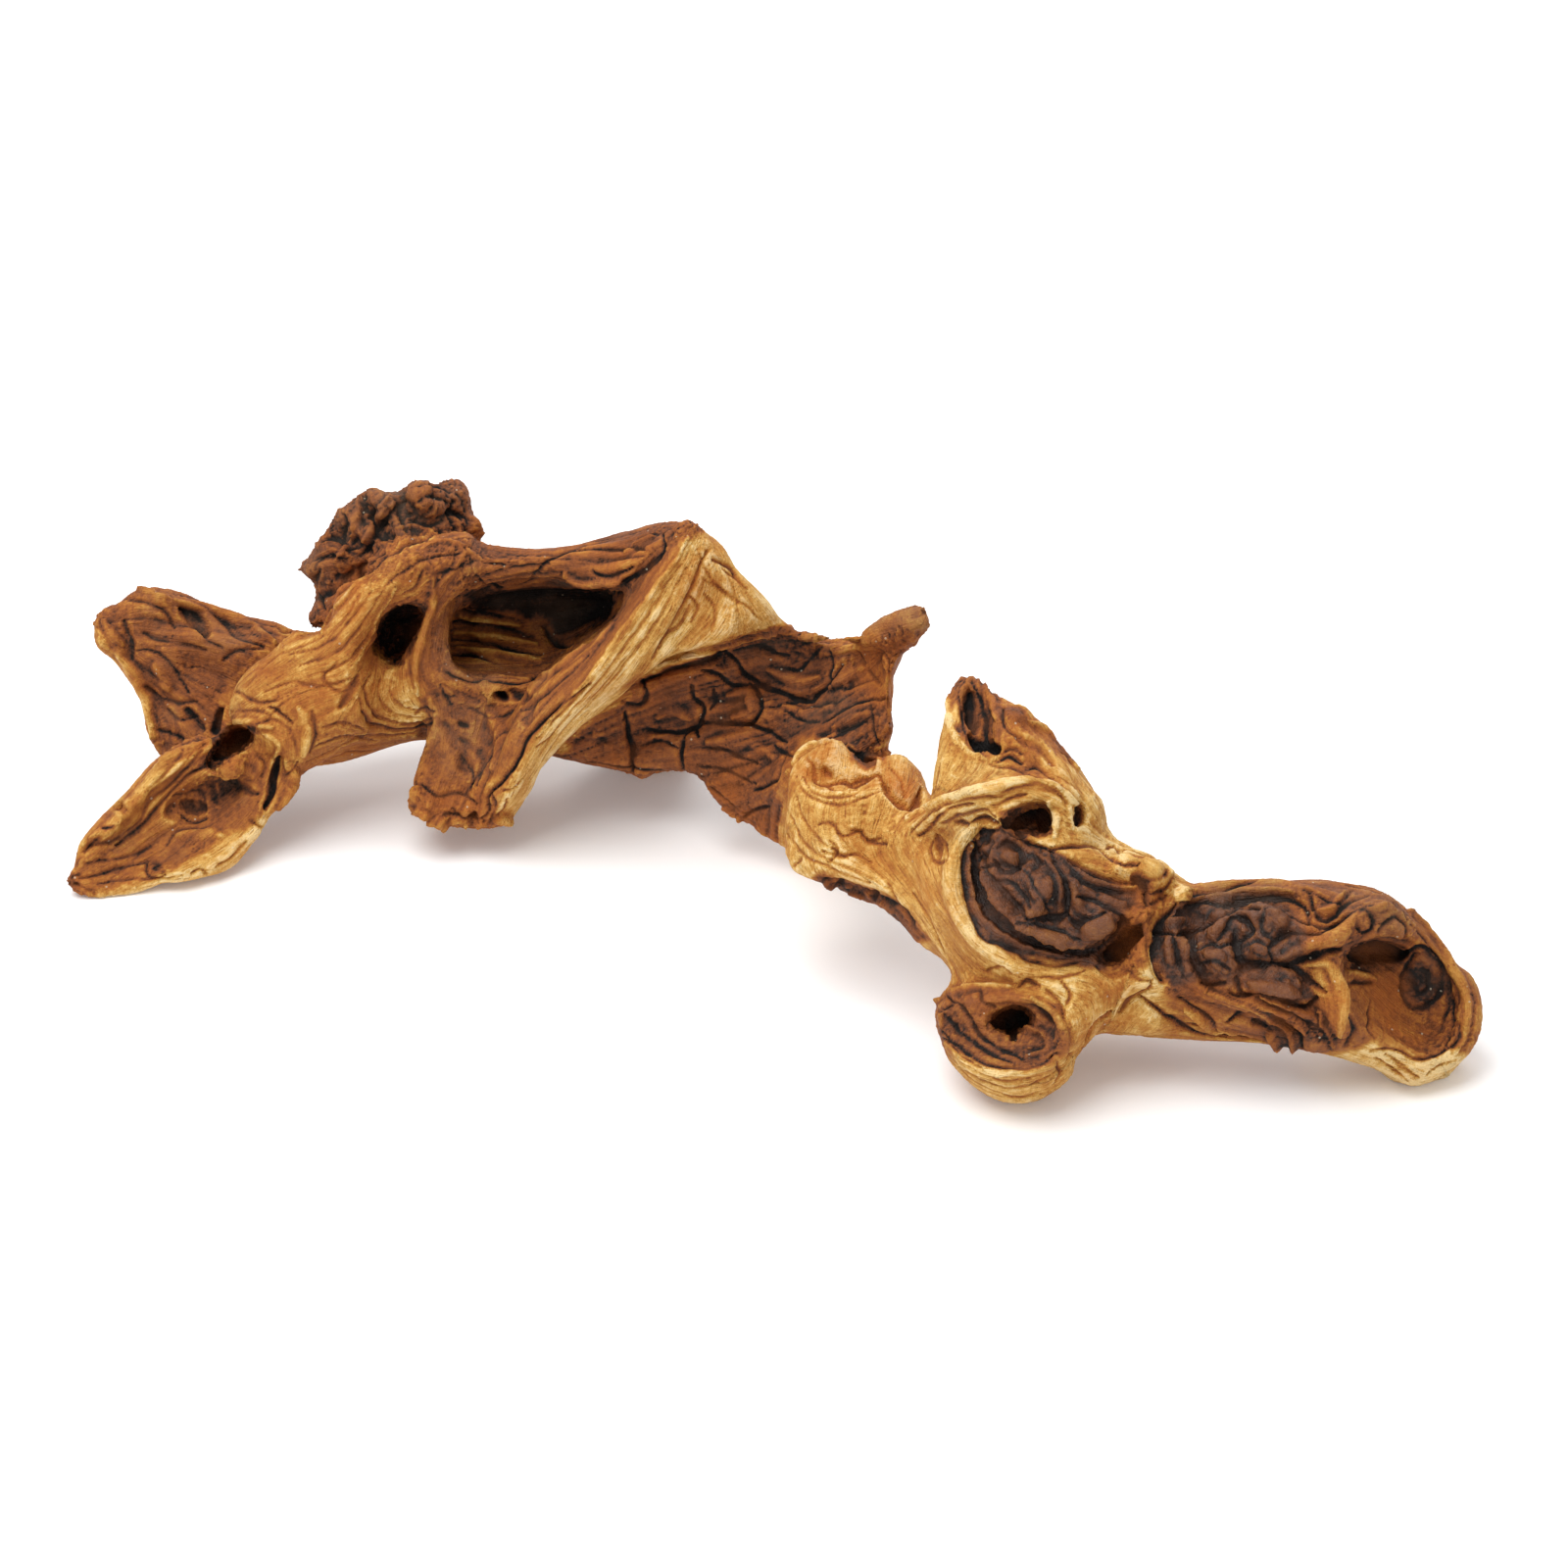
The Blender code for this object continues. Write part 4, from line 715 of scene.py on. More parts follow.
# The pronged spike with its groove
PRONG_STROKES = (
    (4.5, -4.0, 1.0, ((992, 752), (1003, 764), (1016, 764))),
    (3.5, -3.0, 0.4, ((986, 702), (990, 722), (996, 744))),
    (1.1, -1.4, 0.9, ((993, 694), (999, 714), (1004, 734), (1006, 754))),
    (1.1, -1.4, 0.8, ((977, 710), (983, 730), (986, 748))),
    (1.0, -1.2, 0.7, ((986, 700), (991, 722), (995, 744))),
    (2.0, 1.5, 0.0, ((1004, 700), (1012, 718), (1018, 736))),
    (1.8, 1.4, 0.0, ((970, 706), (968, 730), (974, 752), (988, 768), (1006, 776))),
    (4.0, 2.4, 0.5, ((1030, 728), (1040, 734))),
    (1.2, -1.4, 0.8, ((1022, 722), (1022, 736), (1030, 746), (1042, 750))),
    (1.2, -1.3, 0.9, ((1018, 776), (1030, 772), (1042, 779))),
    (1.0, -1.0, 0.7, ((1022, 768), (1034, 764), (1044, 770))),
    (1.1, -1.3, 0.8, ((1044, 786), (1058, 782), (1070, 789), (1078, 796), (1086, 806))),
    (3.0, -1.4, 0.4, ((1038, 752), (1060, 762), (1074, 778))),
    (1.6, -1.2, 0.8, ((1084, 770), (1092, 778))),
    (2.0, 1.3, 0.0, ((1044, 734), (1064, 744), (1082, 764), (1100, 786))),
    (2.8, 2.2, 0.0, (
        (926, 836), (948, 824), (976, 812), (1010, 804), (1050, 798), (1080, 804), (1096, 818))),
    (1.1, -1.4, 0.8, ((936, 852), (950, 844), (960, 832), (974, 824), (992, 820))),
    (1.1, -1.3, 0.7, ((930, 846), (946, 832), (970, 818), (1000, 812), (1024, 812))),
    (1.0, -1.1, 0.7, ((960, 842), (980, 832), (1004, 828), (1016, 834))),
    (1.1, -1.2, 0.7, ((1022, 808), (1038, 803), (1060, 801), (1080, 808), (1090, 820))),
    (1.0, -1.0, 0.5, ((1012, 822), (1030, 816), (1046, 812))),
    (1.9, -2.4, 1.0, ((974, 840), (990, 840), (1006, 838), (1018, 842))),
    (3.6, -2.6, 1.0, ((1036, 842), (1050, 832), (1062, 830), (1068, 846))),
    (2.4, -1.8, 0.9, ((1022, 838), (1034, 844), (1044, 852))),
    (1.5, 1.3, 0.0, ((1070, 818), (1078, 834), (1074, 856))),
    (3.2, -4.5, 1.0, ((1099, 822), (1103, 831), (1100, 839))),
    (1.2, 0.9, 0.0, ((1092, 816), (1091, 832), (1096, 846))),
    (2.6, -1.0, 0.6, ((956, 856), (959, 874))),
    (5.0, 1.6, 0.0, ((1150, 870), (1174, 878), (1196, 892))),
    (1.0, -1.2, 0.8, ((1126, 866), (1136, 864), (1150, 880), (1164, 888))),
    (1.0, -1.0, 0.5, ((1140, 866), (1168, 876), (1190, 884), (1202, 896))),
    (0.9, -0.9, 0.7, ((956, 852), (950, 862), (952, 876), (962, 880), (966, 868), (958, 853))),
    (1.0, -0.8, 0.4, ((958, 780), (952, 806), (936, 836))),
    (1.0, -0.8, 0.4, ((1010, 780), (1040, 786), (1070, 800))),
)
# The burled body
BURL_STROKES = (
    (1.4, -2.6, 1.0, (
        (996, 858), (994, 884), (1000, 906), (1013, 926), (1032, 944), (1056, 958), (1078, 966),
        (1102, 973), (1120, 970))),
    (1.2, -1.5, 0.8, (
        (1004, 847), (988, 866), (984, 890), (988, 916), (995, 940), (1004, 956), (1022, 964),
        (1038, 970), (1048, 980), (1078, 985), (1098, 981))),
    (1.8, 1.6, 0.0, (
        (1000, 852), (989, 874), (990, 902), (998, 930), (1016, 950), (1044, 966), (1080, 975))),
    (1.3, -2.2, 1.0, (
        (1015, 866), (1028, 860), (1041, 866), (1044, 878), (1036, 887), (1020, 889), (1013, 878))),
    (1.1, -1.8, 1.0, (
        (1002, 852), (1014, 848), (1028, 848), (1040, 854), (1050, 862), (1070, 866))),
    (1.4, -2.6, 1.0, (
        (1072, 868), (1080, 884), (1088, 900), (1090, 920), (1086, 934), (1068, 939), (1048, 938))),
    (1.3, -2.2, 1.0, ((1076, 868), (1090, 882), (1106, 898), (1126, 907), (1146, 910))),
    (1.2, -2.0, 0.9, ((1004, 890), (1020, 906), (1036, 922), (1046, 936))),
    (1.2, -2.0, 0.9, ((1038, 941), (1064, 945), (1086, 951), (1102, 960))),
    (1.2, -2.2, 1.0, ((1088, 934), (1100, 943), (1116, 938), (1130, 928))),
    (1.2, -2.0, 0.9, (
        (1098, 914), (1120, 920), (1136, 926), (1147, 936), (1140, 952), (1124, 968))),
    (1.1, -1.8, 0.9, ((1046, 886), (1056, 902), (1066, 916), (1074, 932))),
    (1.1, -1.8, 0.9, ((1066, 880), (1078, 898), (1078, 918), (1068, 930))),
    (1.0, -1.6, 0.9, ((1000, 886), (1020, 882), (1040, 886))),
    (1.0, -1.6, 0.9, ((1010, 898), (1030, 900), (1044, 914), (1050, 928))),
    (1.0, -1.5, 0.8, ((1012, 858), (1010, 870), (1000, 876))),
    (2.0, 1.8, 0.0, ((1004, 872), (1004, 896), (1020, 924), (1046, 948), (1080, 960), (1106, 966))),
    (2.0, 1.8, 0.0, ((1060, 872), (1078, 892), (1083, 924))),
    (2.2, 2.0, 0.0, ((1078, 871), (1104, 892), (1136, 905), (1158, 905))),
    (2.2, 1.8, 0.0, ((1094, 902), (1102, 926), (1112, 934))),
    (3.4, 2.4, 0.0, ((1028, 872), (1034, 876))),
    (3.0, 2.0, 0.0, ((1006, 864), (1010, 868))),
    (5.0, 2.6, 0.0, ((1056, 896), (1066, 912))),
    (5.5, 3.0, 0.0, ((1112, 948), (1130, 944))),
    (4.5, 1.8, 0.0, ((1064, 952), (1090, 956))),
    (3.0, 1.6, 0.0, ((1014, 912), (1030, 932))),
    (3.0, 1.6, 0.0, ((1124, 918), (1146, 922))),
    (4.5, -3.0, 0.9, ((1132, 976), (1150, 966), (1164, 946))),
    (3.0, -2.2, 0.9, ((1154, 898), (1168, 906), (1172, 922))),
    (1.0, -1.2, 0.8, ((1160, 896), (1172, 900), (1184, 894))),
    (1.0, -1.2, 0.8, ((1166, 912), (1182, 910), (1196, 900))),
    (1.0, -1.0, 0.6, ((1168, 926), (1180, 920), (1190, 912))),
    (1.2, -1.8, 1.0, (
        (1070, 866), (1100, 862), (1120, 864), (1132, 874), (1142, 885), (1158, 890))),
    (1.5, -1.6, 0.6, ((1092, 878), (1112, 890), (1136, 900), (1156, 904))),
    (8.0, 4.5, 0.0, ((1140, 886), (1164, 888), (1190, 898))),
)
# The knob with its mouth
KNOB_STROKES = (
    (1.1, -1.6, 0.9, ((1143, 1034), (1152, 1021), (1163, 1016), (1172, 1010), (1177, 1000))),
    (1.2, -1.8, 1.0, ((1164, 1019), (1180, 1028), (1200, 1042), (1220, 1056), (1244, 1060))),
    (0.9, -0.9, 0.5, ((1150, 990), (1160, 1000), (1176, 1002))),
    (1.4, -1.4, 0.8, ((1112, 1062), (1130, 1056), (1150, 1060), (1170, 1062))),
    (2.2, 1.8, 0.0, ((950, 1028), (974, 1012), (1000, 1006), (1030, 1008))),
    (3.6, -3.2, 1.0, ((1014, 1046), (1030, 1038), (1046, 1040))),
    (2.2, -2.4, 1.0, ((1032, 1044), (1034, 1060))),
    (1.4, -2.0, 0.9, ((1042, 1028), (1058, 1030), (1072, 1042))),
    (1.2, -1.4, 0.8, ((966, 1016), (986, 1034), (1000, 1056), (1022, 1070), (1044, 1080))),
    (1.2, -1.4, 0.8, (
        (952, 1046), (972, 1062), (1000, 1082), (1030, 1091), (1060, 1088), (1078, 1076))),
    (1.1, -1.2, 0.7, ((956, 1030), (978, 1050), (1006, 1072), (1036, 1086))),
    (1.1, -1.2, 0.7, ((958, 1056), (978, 1076), (1004, 1092))),
    (1.1, -1.4, 0.8, ((1000, 1010), (1003, 1022), (1016, 1030))),
    (1.0, -1.2, 0.8, ((955, 1024), (962, 1030), (970, 1026))),
    (2.0, 1.8, 0.0, (
        (1054, 1018), (1076, 1036), (1086, 1060), (1078, 1082), (1052, 1092), (1018, 1096))),
    (1.8, 1.5, 0.0, ((1040, 1052), (1056, 1050), (1070, 1060), (1066, 1074), (1048, 1078))),
    (1.2, -1.4, 0.8, ((1040, 1006), (1048, 1000), (1060, 1006))),
    (1.1, -1.3, 0.8, ((1074, 1080), (1082, 1094), (1076, 1106))),
    (1.0, -1.0, 0.6, ((1082, 1080), (1094, 1076))),
    (0.9, -0.7, 0.4, ((960, 1066), (984, 1094), (1020, 1110), (1050, 1108), (1078, 1094))),
    (0.9, -0.7, 0.4, ((966, 1080), (1000, 1108), (1040, 1120), (1070, 1112))),
    (0.9, -0.7, 0.4, ((984, 1088), (1020, 1102), (1052, 1100))),
    (2.6, -1.6, 0.3, ((1108, 1062), (1118, 1046), (1134, 1034))),
    (1.0, -1.0, 0.6, ((1084, 1002), (1092, 1016), (1086, 1028))),
    (1.0, -1.0, 0.5, ((1060, 996), (1082, 998), (1106, 990))),
    (1.0, -1.0, 0.6, ((1006, 990), (1020, 986), (1030, 992))),
    (1.2, -1.2, 0.5, ((1066, 1008), (1080, 1024), (1086, 1040))),
    (2.4, -1.2, 0.3, ((1120, 985), (1136, 995), (1150, 990))),
)
# The right limb with the bowl at its end
LIMB_STROKES = (
    (1.6, -2.4, 1.0, ((1198, 924), (1186, 940), (1180, 960), (1180, 984), (1187, 1002))),
    (1.2, -1.7, 1.0, ((1204, 922), (1222, 914), (1246, 910), (1266, 903), (1282, 899))),
    (1.3, -1.8, 1.0, (
        (1196, 936), (1212, 927), (1232, 920), (1252, 922), (1276, 917), (1300, 916), (1324, 920),
        (1336, 932), (1336, 942))),
    (2.0, 1.4, 0.0, ((1206, 918), (1240, 913), (1280, 909), (1320, 910))),
    (1.6, -2.8, 1.0, (
        (1182, 949), (1202, 951), (1218, 949), (1230, 942), (1246, 931), (1264, 925), (1284, 925))),
    (1.6, -2.8, 1.0, ((1218, 949), (1218, 972), (1223, 990), (1234, 1004), (1250, 1004))),
    (1.6, -2.8, 1.0, ((1262, 954), (1266, 974), (1272, 985), (1286, 985), (1302, 984))),
    (1.5, -2.6, 1.0, ((1301, 980), (1298, 966), (1309, 956), (1318, 950))),
    (1.3, -2.2, 1.0, ((1244, 956), (1254, 945), (1262, 934), (1276, 948), (1266, 958))),
    (1.3, -2.2, 1.0, ((1292, 924), (1287, 944), (1300, 956))),
    (1.2, -2.0, 1.0, ((1195, 956), (1202, 974), (1206, 996))),
    (1.2, -2.0, 1.0, ((1222, 968), (1236, 960), (1246, 964), (1260, 960))),
    (1.2, -2.0, 1.0, ((1224, 984), (1240, 980), (1256, 990))),
    (1.2, -2.0, 1.0, ((1272, 962), (1282, 958), (1294, 964))),
    (1.2, -2.0, 1.0, ((1280, 972), (1290, 976), (1296, 970))),
    (1.4, -2.4, 1.0, ((1302, 985), (1318, 985), (1330, 992), (1340, 1004), (1352, 1012))),
    (1.4, -2.4, 1.0, (
        (1262, 1000), (1266, 1012), (1288, 1018), (1312, 1023), (1334, 1028), (1342, 1018))),
    (1.2, -1.6, 0.8, ((1262, 998), (1274, 988), (1292, 988))),
    (3.6, 2.6, 0.0, ((1234, 974), (1246, 978))),
    (3.4, 2.4, 0.0, ((1238, 950), (1246, 946))),
    (4.0, 2.8, 0.0, ((1284, 970), (1290, 972))),
    (4.0, 2.4, 0.0, ((1302, 932), (1308, 942))),
    (3.0, 2.2, 0.0, ((1276, 934), (1280, 940))),
    (2.8, 2.0, 0.0, ((1268, 946), (1270, 950))),
    (2.8, 2.0, 0.0, ((1192, 940), (1206, 938))),
    (2.8, 2.0, 0.0, ((1190, 962), (1196, 980))),
    (2.8, 2.0, 0.0, ((1208, 962), (1210, 976))),
    (2.6, 1.8, 0.0, ((1204, 992), (1212, 988))),
    (3.2, 2.2, 0.0, ((1276, 1004), (1300, 1008), (1326, 1016))),
    (1.6, -2.4, 0.9, (
        (1226, 1004), (1252, 1016), (1282, 1030), (1306, 1042), (1324, 1056), (1328, 1074))),
    (1.6, -2.2, 0.9, ((1256, 1012), (1290, 1024), (1322, 1036), (1346, 1050), (1360, 1072))),
    (1.4, -1.8, 0.8, ((1202, 1020), (1226, 1034), (1242, 1052))),
    (1.2, -1.6, 0.8, ((1212, 1046), (1240, 1050), (1262, 1054))),
    (1.2, -1.6, 0.8, ((1252, 1044), (1266, 1034), (1282, 1034))),
    (2.0, -2.8, 1.0, ((1244, 1058), (1264, 1061), (1288, 1062))),
    (2.4, 2.2, 0.0, ((1230, 1010), (1272, 1026), (1308, 1046), (1320, 1068))),
    (2.4, 2.2, 0.0, ((1288, 1020), (1330, 1034), (1352, 1056), (1360, 1070))),
    (2.4, 1.8, 0.0, ((1210, 1030), (1236, 1048), (1262, 1052))),
    (2.8, 2.4, 0.0, ((1296, 1056), (1304, 1066))),
    (1.6, -2.0, 1.0, ((1278, 1042), (1292, 1050))),
    (1.2, -1.6, 0.8, (
        (1336, 908), (1340, 926), (1350, 938), (1362, 934), (1376, 920), (1396, 914))),
    (1.2, -1.8, 0.9, (
        (1318, 934), (1334, 940), (1350, 944), (1366, 940), (1384, 930), (1402, 926))),
    (1.1, -1.4, 0.7, ((1330, 906), (1350, 914), (1364, 922), (1380, 908))),
    (1.1, -1.4, 0.7, ((1374, 905), (1400, 910), (1428, 920), (1436, 938))),
    (2.4, 1.8, 0.0, ((1340, 932), (1358, 926), (1372, 912))),
    (3.0, 2.4, 0.0, ((1308, 978), (1336, 964), (1364, 956), (1386, 932), (1412, 926))),
    (2.0, -2.2, 0.6, ((1314, 986), (1344, 975), (1368, 968))),
    (1.2, -1.5, 0.8, ((1320, 950), (1340, 952), (1360, 944), (1374, 934))),
    (1.2, -1.5, 0.8, (
        (1383, 936), (1392, 930), (1401, 937), (1401, 948), (1391, 952), (1383, 944))),
    (2.2, 1.2, 0.0, ((1390, 941), (1394, 942))),
    (3.6, 1.8, 0.3, ((1422, 944), (1428, 952))),
    (1.2, -1.6, 0.8, ((1406, 956), (1412, 944), (1424, 936), (1434, 944), (1432, 958))),
    (1.1, -1.4, 0.8, ((1428, 910), (1434, 926), (1440, 936))),
    (5.0, -3.0, 1.0, ((1378, 974), (1404, 968), (1430, 974))),
    (2.4, -1.6, 1.0, ((1430, 976), (1450, 968), (1466, 976))),
    (1.2, -1.5, 0.9, ((1374, 1004), (1388, 1002), (1402, 1004))),
    (2.4, 2.0, 0.0, ((1336, 984), (1354, 984), (1366, 1000), (1372, 1024), (1366, 1056))),
    (2.0, 1.4, 0.0, ((1376, 992), (1396, 996), (1404, 1000))),
    (2.4, 1.6, 0.0, (
        (1438, 930), (1464, 956), (1484, 990), (1497, 1022), (1494, 1052), (1484, 1074))),
    (1.1, -1.3, 0.7, (
        (1440, 942), (1458, 962), (1472, 988), (1480, 1018), (1482, 1046), (1474, 1070))),
    (1.0, -1.0, 0.5, ((1462, 970), (1474, 1000), (1476, 1030), (1468, 1056))),
    (5.0, 1.4, 0.6, ((1446, 990), (1452, 1006))),
    (1.4, -1.4, 0.5, (
        (1436, 984), (1446, 974), (1460, 978), (1470, 992), (1470, 1010), (1460, 1024),
        (1446, 1028), (1434, 1018), (1430, 1000), (1436, 984))),
    (1.0, -1.0, 0.5, ((1444, 988), (1456, 990), (1458, 1006), (1448, 1014), (1442, 1002))),
    (1.6, -1.4, 0.7, ((1376, 1030), (1382, 1050), (1374, 1066))),
    (1.0, -1.0, 0.6, ((1400, 1020), (1396, 1044), (1402, 1060))),
    (1.2, -1.2, 0.7, ((1398, 1072), (1424, 1072), (1446, 1080), (1470, 1074), (1486, 1062))),
    (1.0, -1.1, 0.6, ((1402, 1080), (1420, 1092), (1440, 1106))),
    (1.0, -1.1, 0.6, ((1412, 1076), (1430, 1088), (1448, 1100))),
    (1.0, -1.1, 0.6, ((1456, 1098), (1470, 1088), (1486, 1082))),
    (1.0, -1.1, 0.6, ((1462, 1104), (1478, 1096), (1490, 1086))),
    (1.6, -1.2, 0.7, ((1484, 1040), (1490, 1054), (1484, 1068))),
)
STROKES = (
    *LEFT_LEG_STROKES, *BLADE_STROKES, *CREST_STROKES, *SHOULDER_STROKES, *LOG_STROKES,
    *FRONT_LEG_STROKES, *RIDGE_STROKES, *SHEET_STROKES, *STUMP_STROKES, *PRONG_STROKES,
    *BURL_STROKES, *KNOB_STROKES, *LIMB_STROKES,
)


# Geometry of the view

def view_axes():
    """The eye's place and its sight, right and up directions."""
    sight = Vector((0, math.cos(VIEW_TILT), -math.sin(VIEW_TILT)))
    up = Vector((0, math.sin(VIEW_TILT), math.cos(VIEW_TILT)))
    return VIEW_MIDDLE - sight * VIEW_DISTANCE, sight, Vector((1, 0, 0)), up


EYE, SIGHT, RIGHT, UP = view_axes()
SLOPE_PER_UNIT = VIEW_WIDTH / VIEW_DISTANCE / VIEW_UNITS


def line_of_sight(spot):
    """The direction from the eye through a spot of the view."""
    across = (spot[0] - VIEW_UNITS / 2) * SLOPE_PER_UNIT
    upward = (VIEW_UNITS / 2 - spot[1]) * SLOPE_PER_UNIT
    return (SIGHT + RIGHT * across + UP * upward).normalized()


def seen_spots(points):
    """The view units and the depth along the sight of an array of points."""
    away = points - np.array(EYE)
    depth = away @ np.array(SIGHT)
    across = VIEW_UNITS / 2 + away @ np.array(RIGHT) / depth / SLOPE_PER_UNIT
    down = VIEW_UNITS / 2 - away @ np.array(UP) / depth / SLOPE_PER_UNIT
    return np.stack((across, down), axis=1), depth


def through(points, spacing):
    """A Catmull-Rom curve through view spots, with a point about every spacing units."""
    row = [Vector(p) for p in points]
    row = [row[0] * 2 - row[1], *row, row[-1] * 2 - row[-2]]
    found = []
    for before, start, end, after in zip(row, row[1:], row[2:], row[3:]):
        steps = max(1, round((end - start).length / spacing))
        for i in range(steps):
            t = i / steps
            found.append(
                0.5 * (2 * start + (end - before) * t
                       + (2 * before - 5 * start + 4 * end - after) * t ** 2
                       + (3 * start - before - 3 * end + after) * t ** 3)
            )
    return [*found, row[-2]]


# The finely split wood

def applied(obj):
    """The mesh that the object's modifiers make; the object is removed."""
    bpy.context.view_layer.update()
    graph = bpy.context.evaluated_depsgraph_get()
    mesh = bpy.data.meshes.new_from_object(obj.evaluated_get(graph))
    bpy.data.objects.remove(obj)
    return mesh


def fine_copy(node):
    """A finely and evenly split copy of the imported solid, with its facets smoothed."""
    bm = bmesh.new()
    bm.from_mesh(node.data)
    bmesh.ops.remove_doubles(bm, verts=bm.verts, dist=1e-6)
    mesh = bpy.data.meshes.new("fine wood")
    bm.to_mesh(mesh)
    bm.free()
    block = bpy.data.objects.new("fine wood", mesh)
    bpy.context.scene.collection.objects.link(block)
    split = block.modifiers.new("split", "SUBSURF")
    split.levels = split.render_levels = 1
    remesh = block.modifiers.new("even skin", "REMESH")
    remesh.mode = "VOXEL"
    remesh.voxel_size = FINE_VOXEL
    smooth = block.modifiers.new("smooth", "SMOOTH")
    smooth.factor = 0.5
    smooth.iterations = SMOOTHING
    return applied(block)


def read(items, name, size):
    """One value of all items of a mesh as an array."""
    values = np.empty(size, np.float32)
    items.foreach_get(name, values)
    return values.astype(float)


class Wood:
    """The points, normals and edges of the fine mesh, as arrays."""

    def __init__(self, mesh):
        self.mesh = mesh
        self.count = len(mesh.vertices)
        self.points = read(mesh.vertices, "co", self.count * 3).reshape(-1, 3)
        ends = np.empty(len(mesh.edges) * 2, np.int32)
        mesh.edges.foreach_get("vertices", ends)
        self.ends = ends.reshape(-1, 2)
        self.read_normals()

    def read_normals(self):
        """Reads the normals again after the points have moved."""
        self.normals = read(self.mesh.vertices, "normal", self.count * 3).reshape(-1, 3)

    def move(self, heights):
        """Moves each point along its normal, and none of them under the floor."""
        self.points += self.normals * heights[:, None]
        self.points[:, 2] = np.maximum(self.points[:, 2], 0)
        self.mesh.vertices.foreach_set("co", self.points.astype(np.float32).ravel())
        self.mesh.update()
        self.read_normals()

    def smoothed(self, values, steps):
        """The values after they are mixed with those of their neighbours, step by step."""
        a, b = self.ends.T
        links = 1 + np.bincount(a, minlength=self.count) + np.bincount(b, minlength=self.count)
        for _ in range(steps):
            near = np.bincount(a, values[b], self.count) + np.bincount(b, values[a], self.count)
            values = (values + near) / links
        return values


# Carving

def laid_line(tree, spots, spacing):
    """The straight pieces of a line that is laid from the eye on the wood."""
    hits = [tree.ray_cast(EYE, line_of_sight(spot))[0] for spot in through(spots, spacing)]
    pieces = [
        (start, end) for start, end in zip(hits, hits[1:])
        if start is not None and end is not None and (end - start).length < LONGEST_JUMP
    ]
    return np.array([start for start, _ in pieces]), np.array([end for _, end in pieces])


def distance_to_pieces(points, starts, ends):
    """The distance of each point to the nearest of a line's pieces; its ends taper."""
    nearest = np.full(len(points), np.inf)
    for i, (start, end) in enumerate(zip(starts, ends)):
        taper = max(THINNEST_END, math.sin(math.pi * (i + 0.5) / len(starts)) ** 0.4)
        piece = end - start
        along = np.clip((points - start) @ piece / (piece @ piece + 1e-15), 0, 1)
        away = points - start - along[:, None] * piece
        nearest = np.minimum(nearest, np.einsum("ij,ij->i", away, away) / taper ** 2)
    return np.sqrt(nearest)


def carve(wood, tree, strokes):
    """Heights and darkness that strokes give to the points of the wood that face the eye.

    The darkness is painted shade in cracks and hollows, and the dark colour of knots on
    raised strokes.
    """
    heights = np.zeros(wood.count)
    dark = np.zeros(wood.count)
    facing = wood.normals @ np.array(SIGHT) < STROKE_FACING
    waves = [cloud(wood.points, WAVE_SIZE, SEED + k) for k in (20, 21, 22)]
    wavy = wood.points + STROKE_WAVE * np.stack(waves, axis=1)
    patchy = 0.75 + 0.35 * cloud(wood.points, STROKE_SHADES, SEED + 5)
    for half_width, height, darkness, spots in strokes:
        starts, ends = laid_line(tree, spots, STROKE_SPACING)
        if not len(starts):
            continue
        wide = half_width >= WIDE_STROKE
        reach = (CRACK_VALLEY * half_width + 1) * MM + STROKE_WAVE
        low = np.minimum(starts.min(0), ends.min(0)) - reach
        high = np.maximum(starts.max(0), ends.max(0)) + reach
        near = ((wood.points > low) & (wood.points < high)).all(1)
        if height < 0 or not wide:
            near &= facing
        near = np.flatnonzero(near)
        away = distance_to_pieces(wavy[near], starts, ends) / MM
        if height > 0 or wide:  # a round swell or hollow
            shape = np.clip(1 - (away / half_width) ** 2, 0, None) ** 2
        else:  # a crack in the middle of a shallow valley
            valley = np.clip(1 - away / (CRACK_VALLEY * half_width), 0, None) ** 2
            shape = 0.55 * np.clip(1 - away / half_width, 0, None) + 0.6 * valley
        heights[near] += height * MM * shape
        # The dark core is painted shade: a hollow's deepest part, or a crack's narrow line.
        core = 0.9 * half_width if wide else CRACK_WIDTH * (0.7 + 0.4 * darkness)
        shade = darkness ** 1.4 * patchy[near] * np.clip(1.3 * (1 - away / core), 0, 1)
        dark[near] = np.maximum(dark[near], shade)
    return heights, dark


# Patterns in space

def cloud(points, size, seed):
    """Smooth noise of about -1 to 1, with lumps of the given size."""
    grid = np.random.default_rng(seed).uniform(-1, 1, (LATTICE, LATTICE, LATTICE))
    place = points / size
    cell = np.floor(place).astype(int)
    part = place - cell
    part = part * part * (3 - 2 * part)
    value = np.zeros(len(points))
    for corner in np.ndindex(2, 2, 2):
        weight = np.prod(np.where(corner, part, 1 - part), axis=1)
        x, y, z = ((cell + corner) % LATTICE).T
        value += weight * grid[x, y, z]
    return value


def nodules(points, size, seed):
    """Round bumps from 0 in the creases between them to 1 at their tops."""
    jitter = np.random.default_rng(seed).uniform(0, 1, (LATTICE, LATTICE, LATTICE, 3))
    place = points / size
    cell = np.floor(place).astype(int)
    first = np.full(len(points), np.inf)
    second = first.copy()
    for step in np.ndindex(3, 3, 3):
        other = cell + step - 1
        x, y, z = (other % LATTICE).T
        away = np.linalg.norm(other + jitter[x, y, z] - place, axis=1)
        second = np.minimum(second, np.maximum(first, away))
        first = np.minimum(first, away)
    return np.clip(second - first, 0, 0.6) / 0.6


# Grain

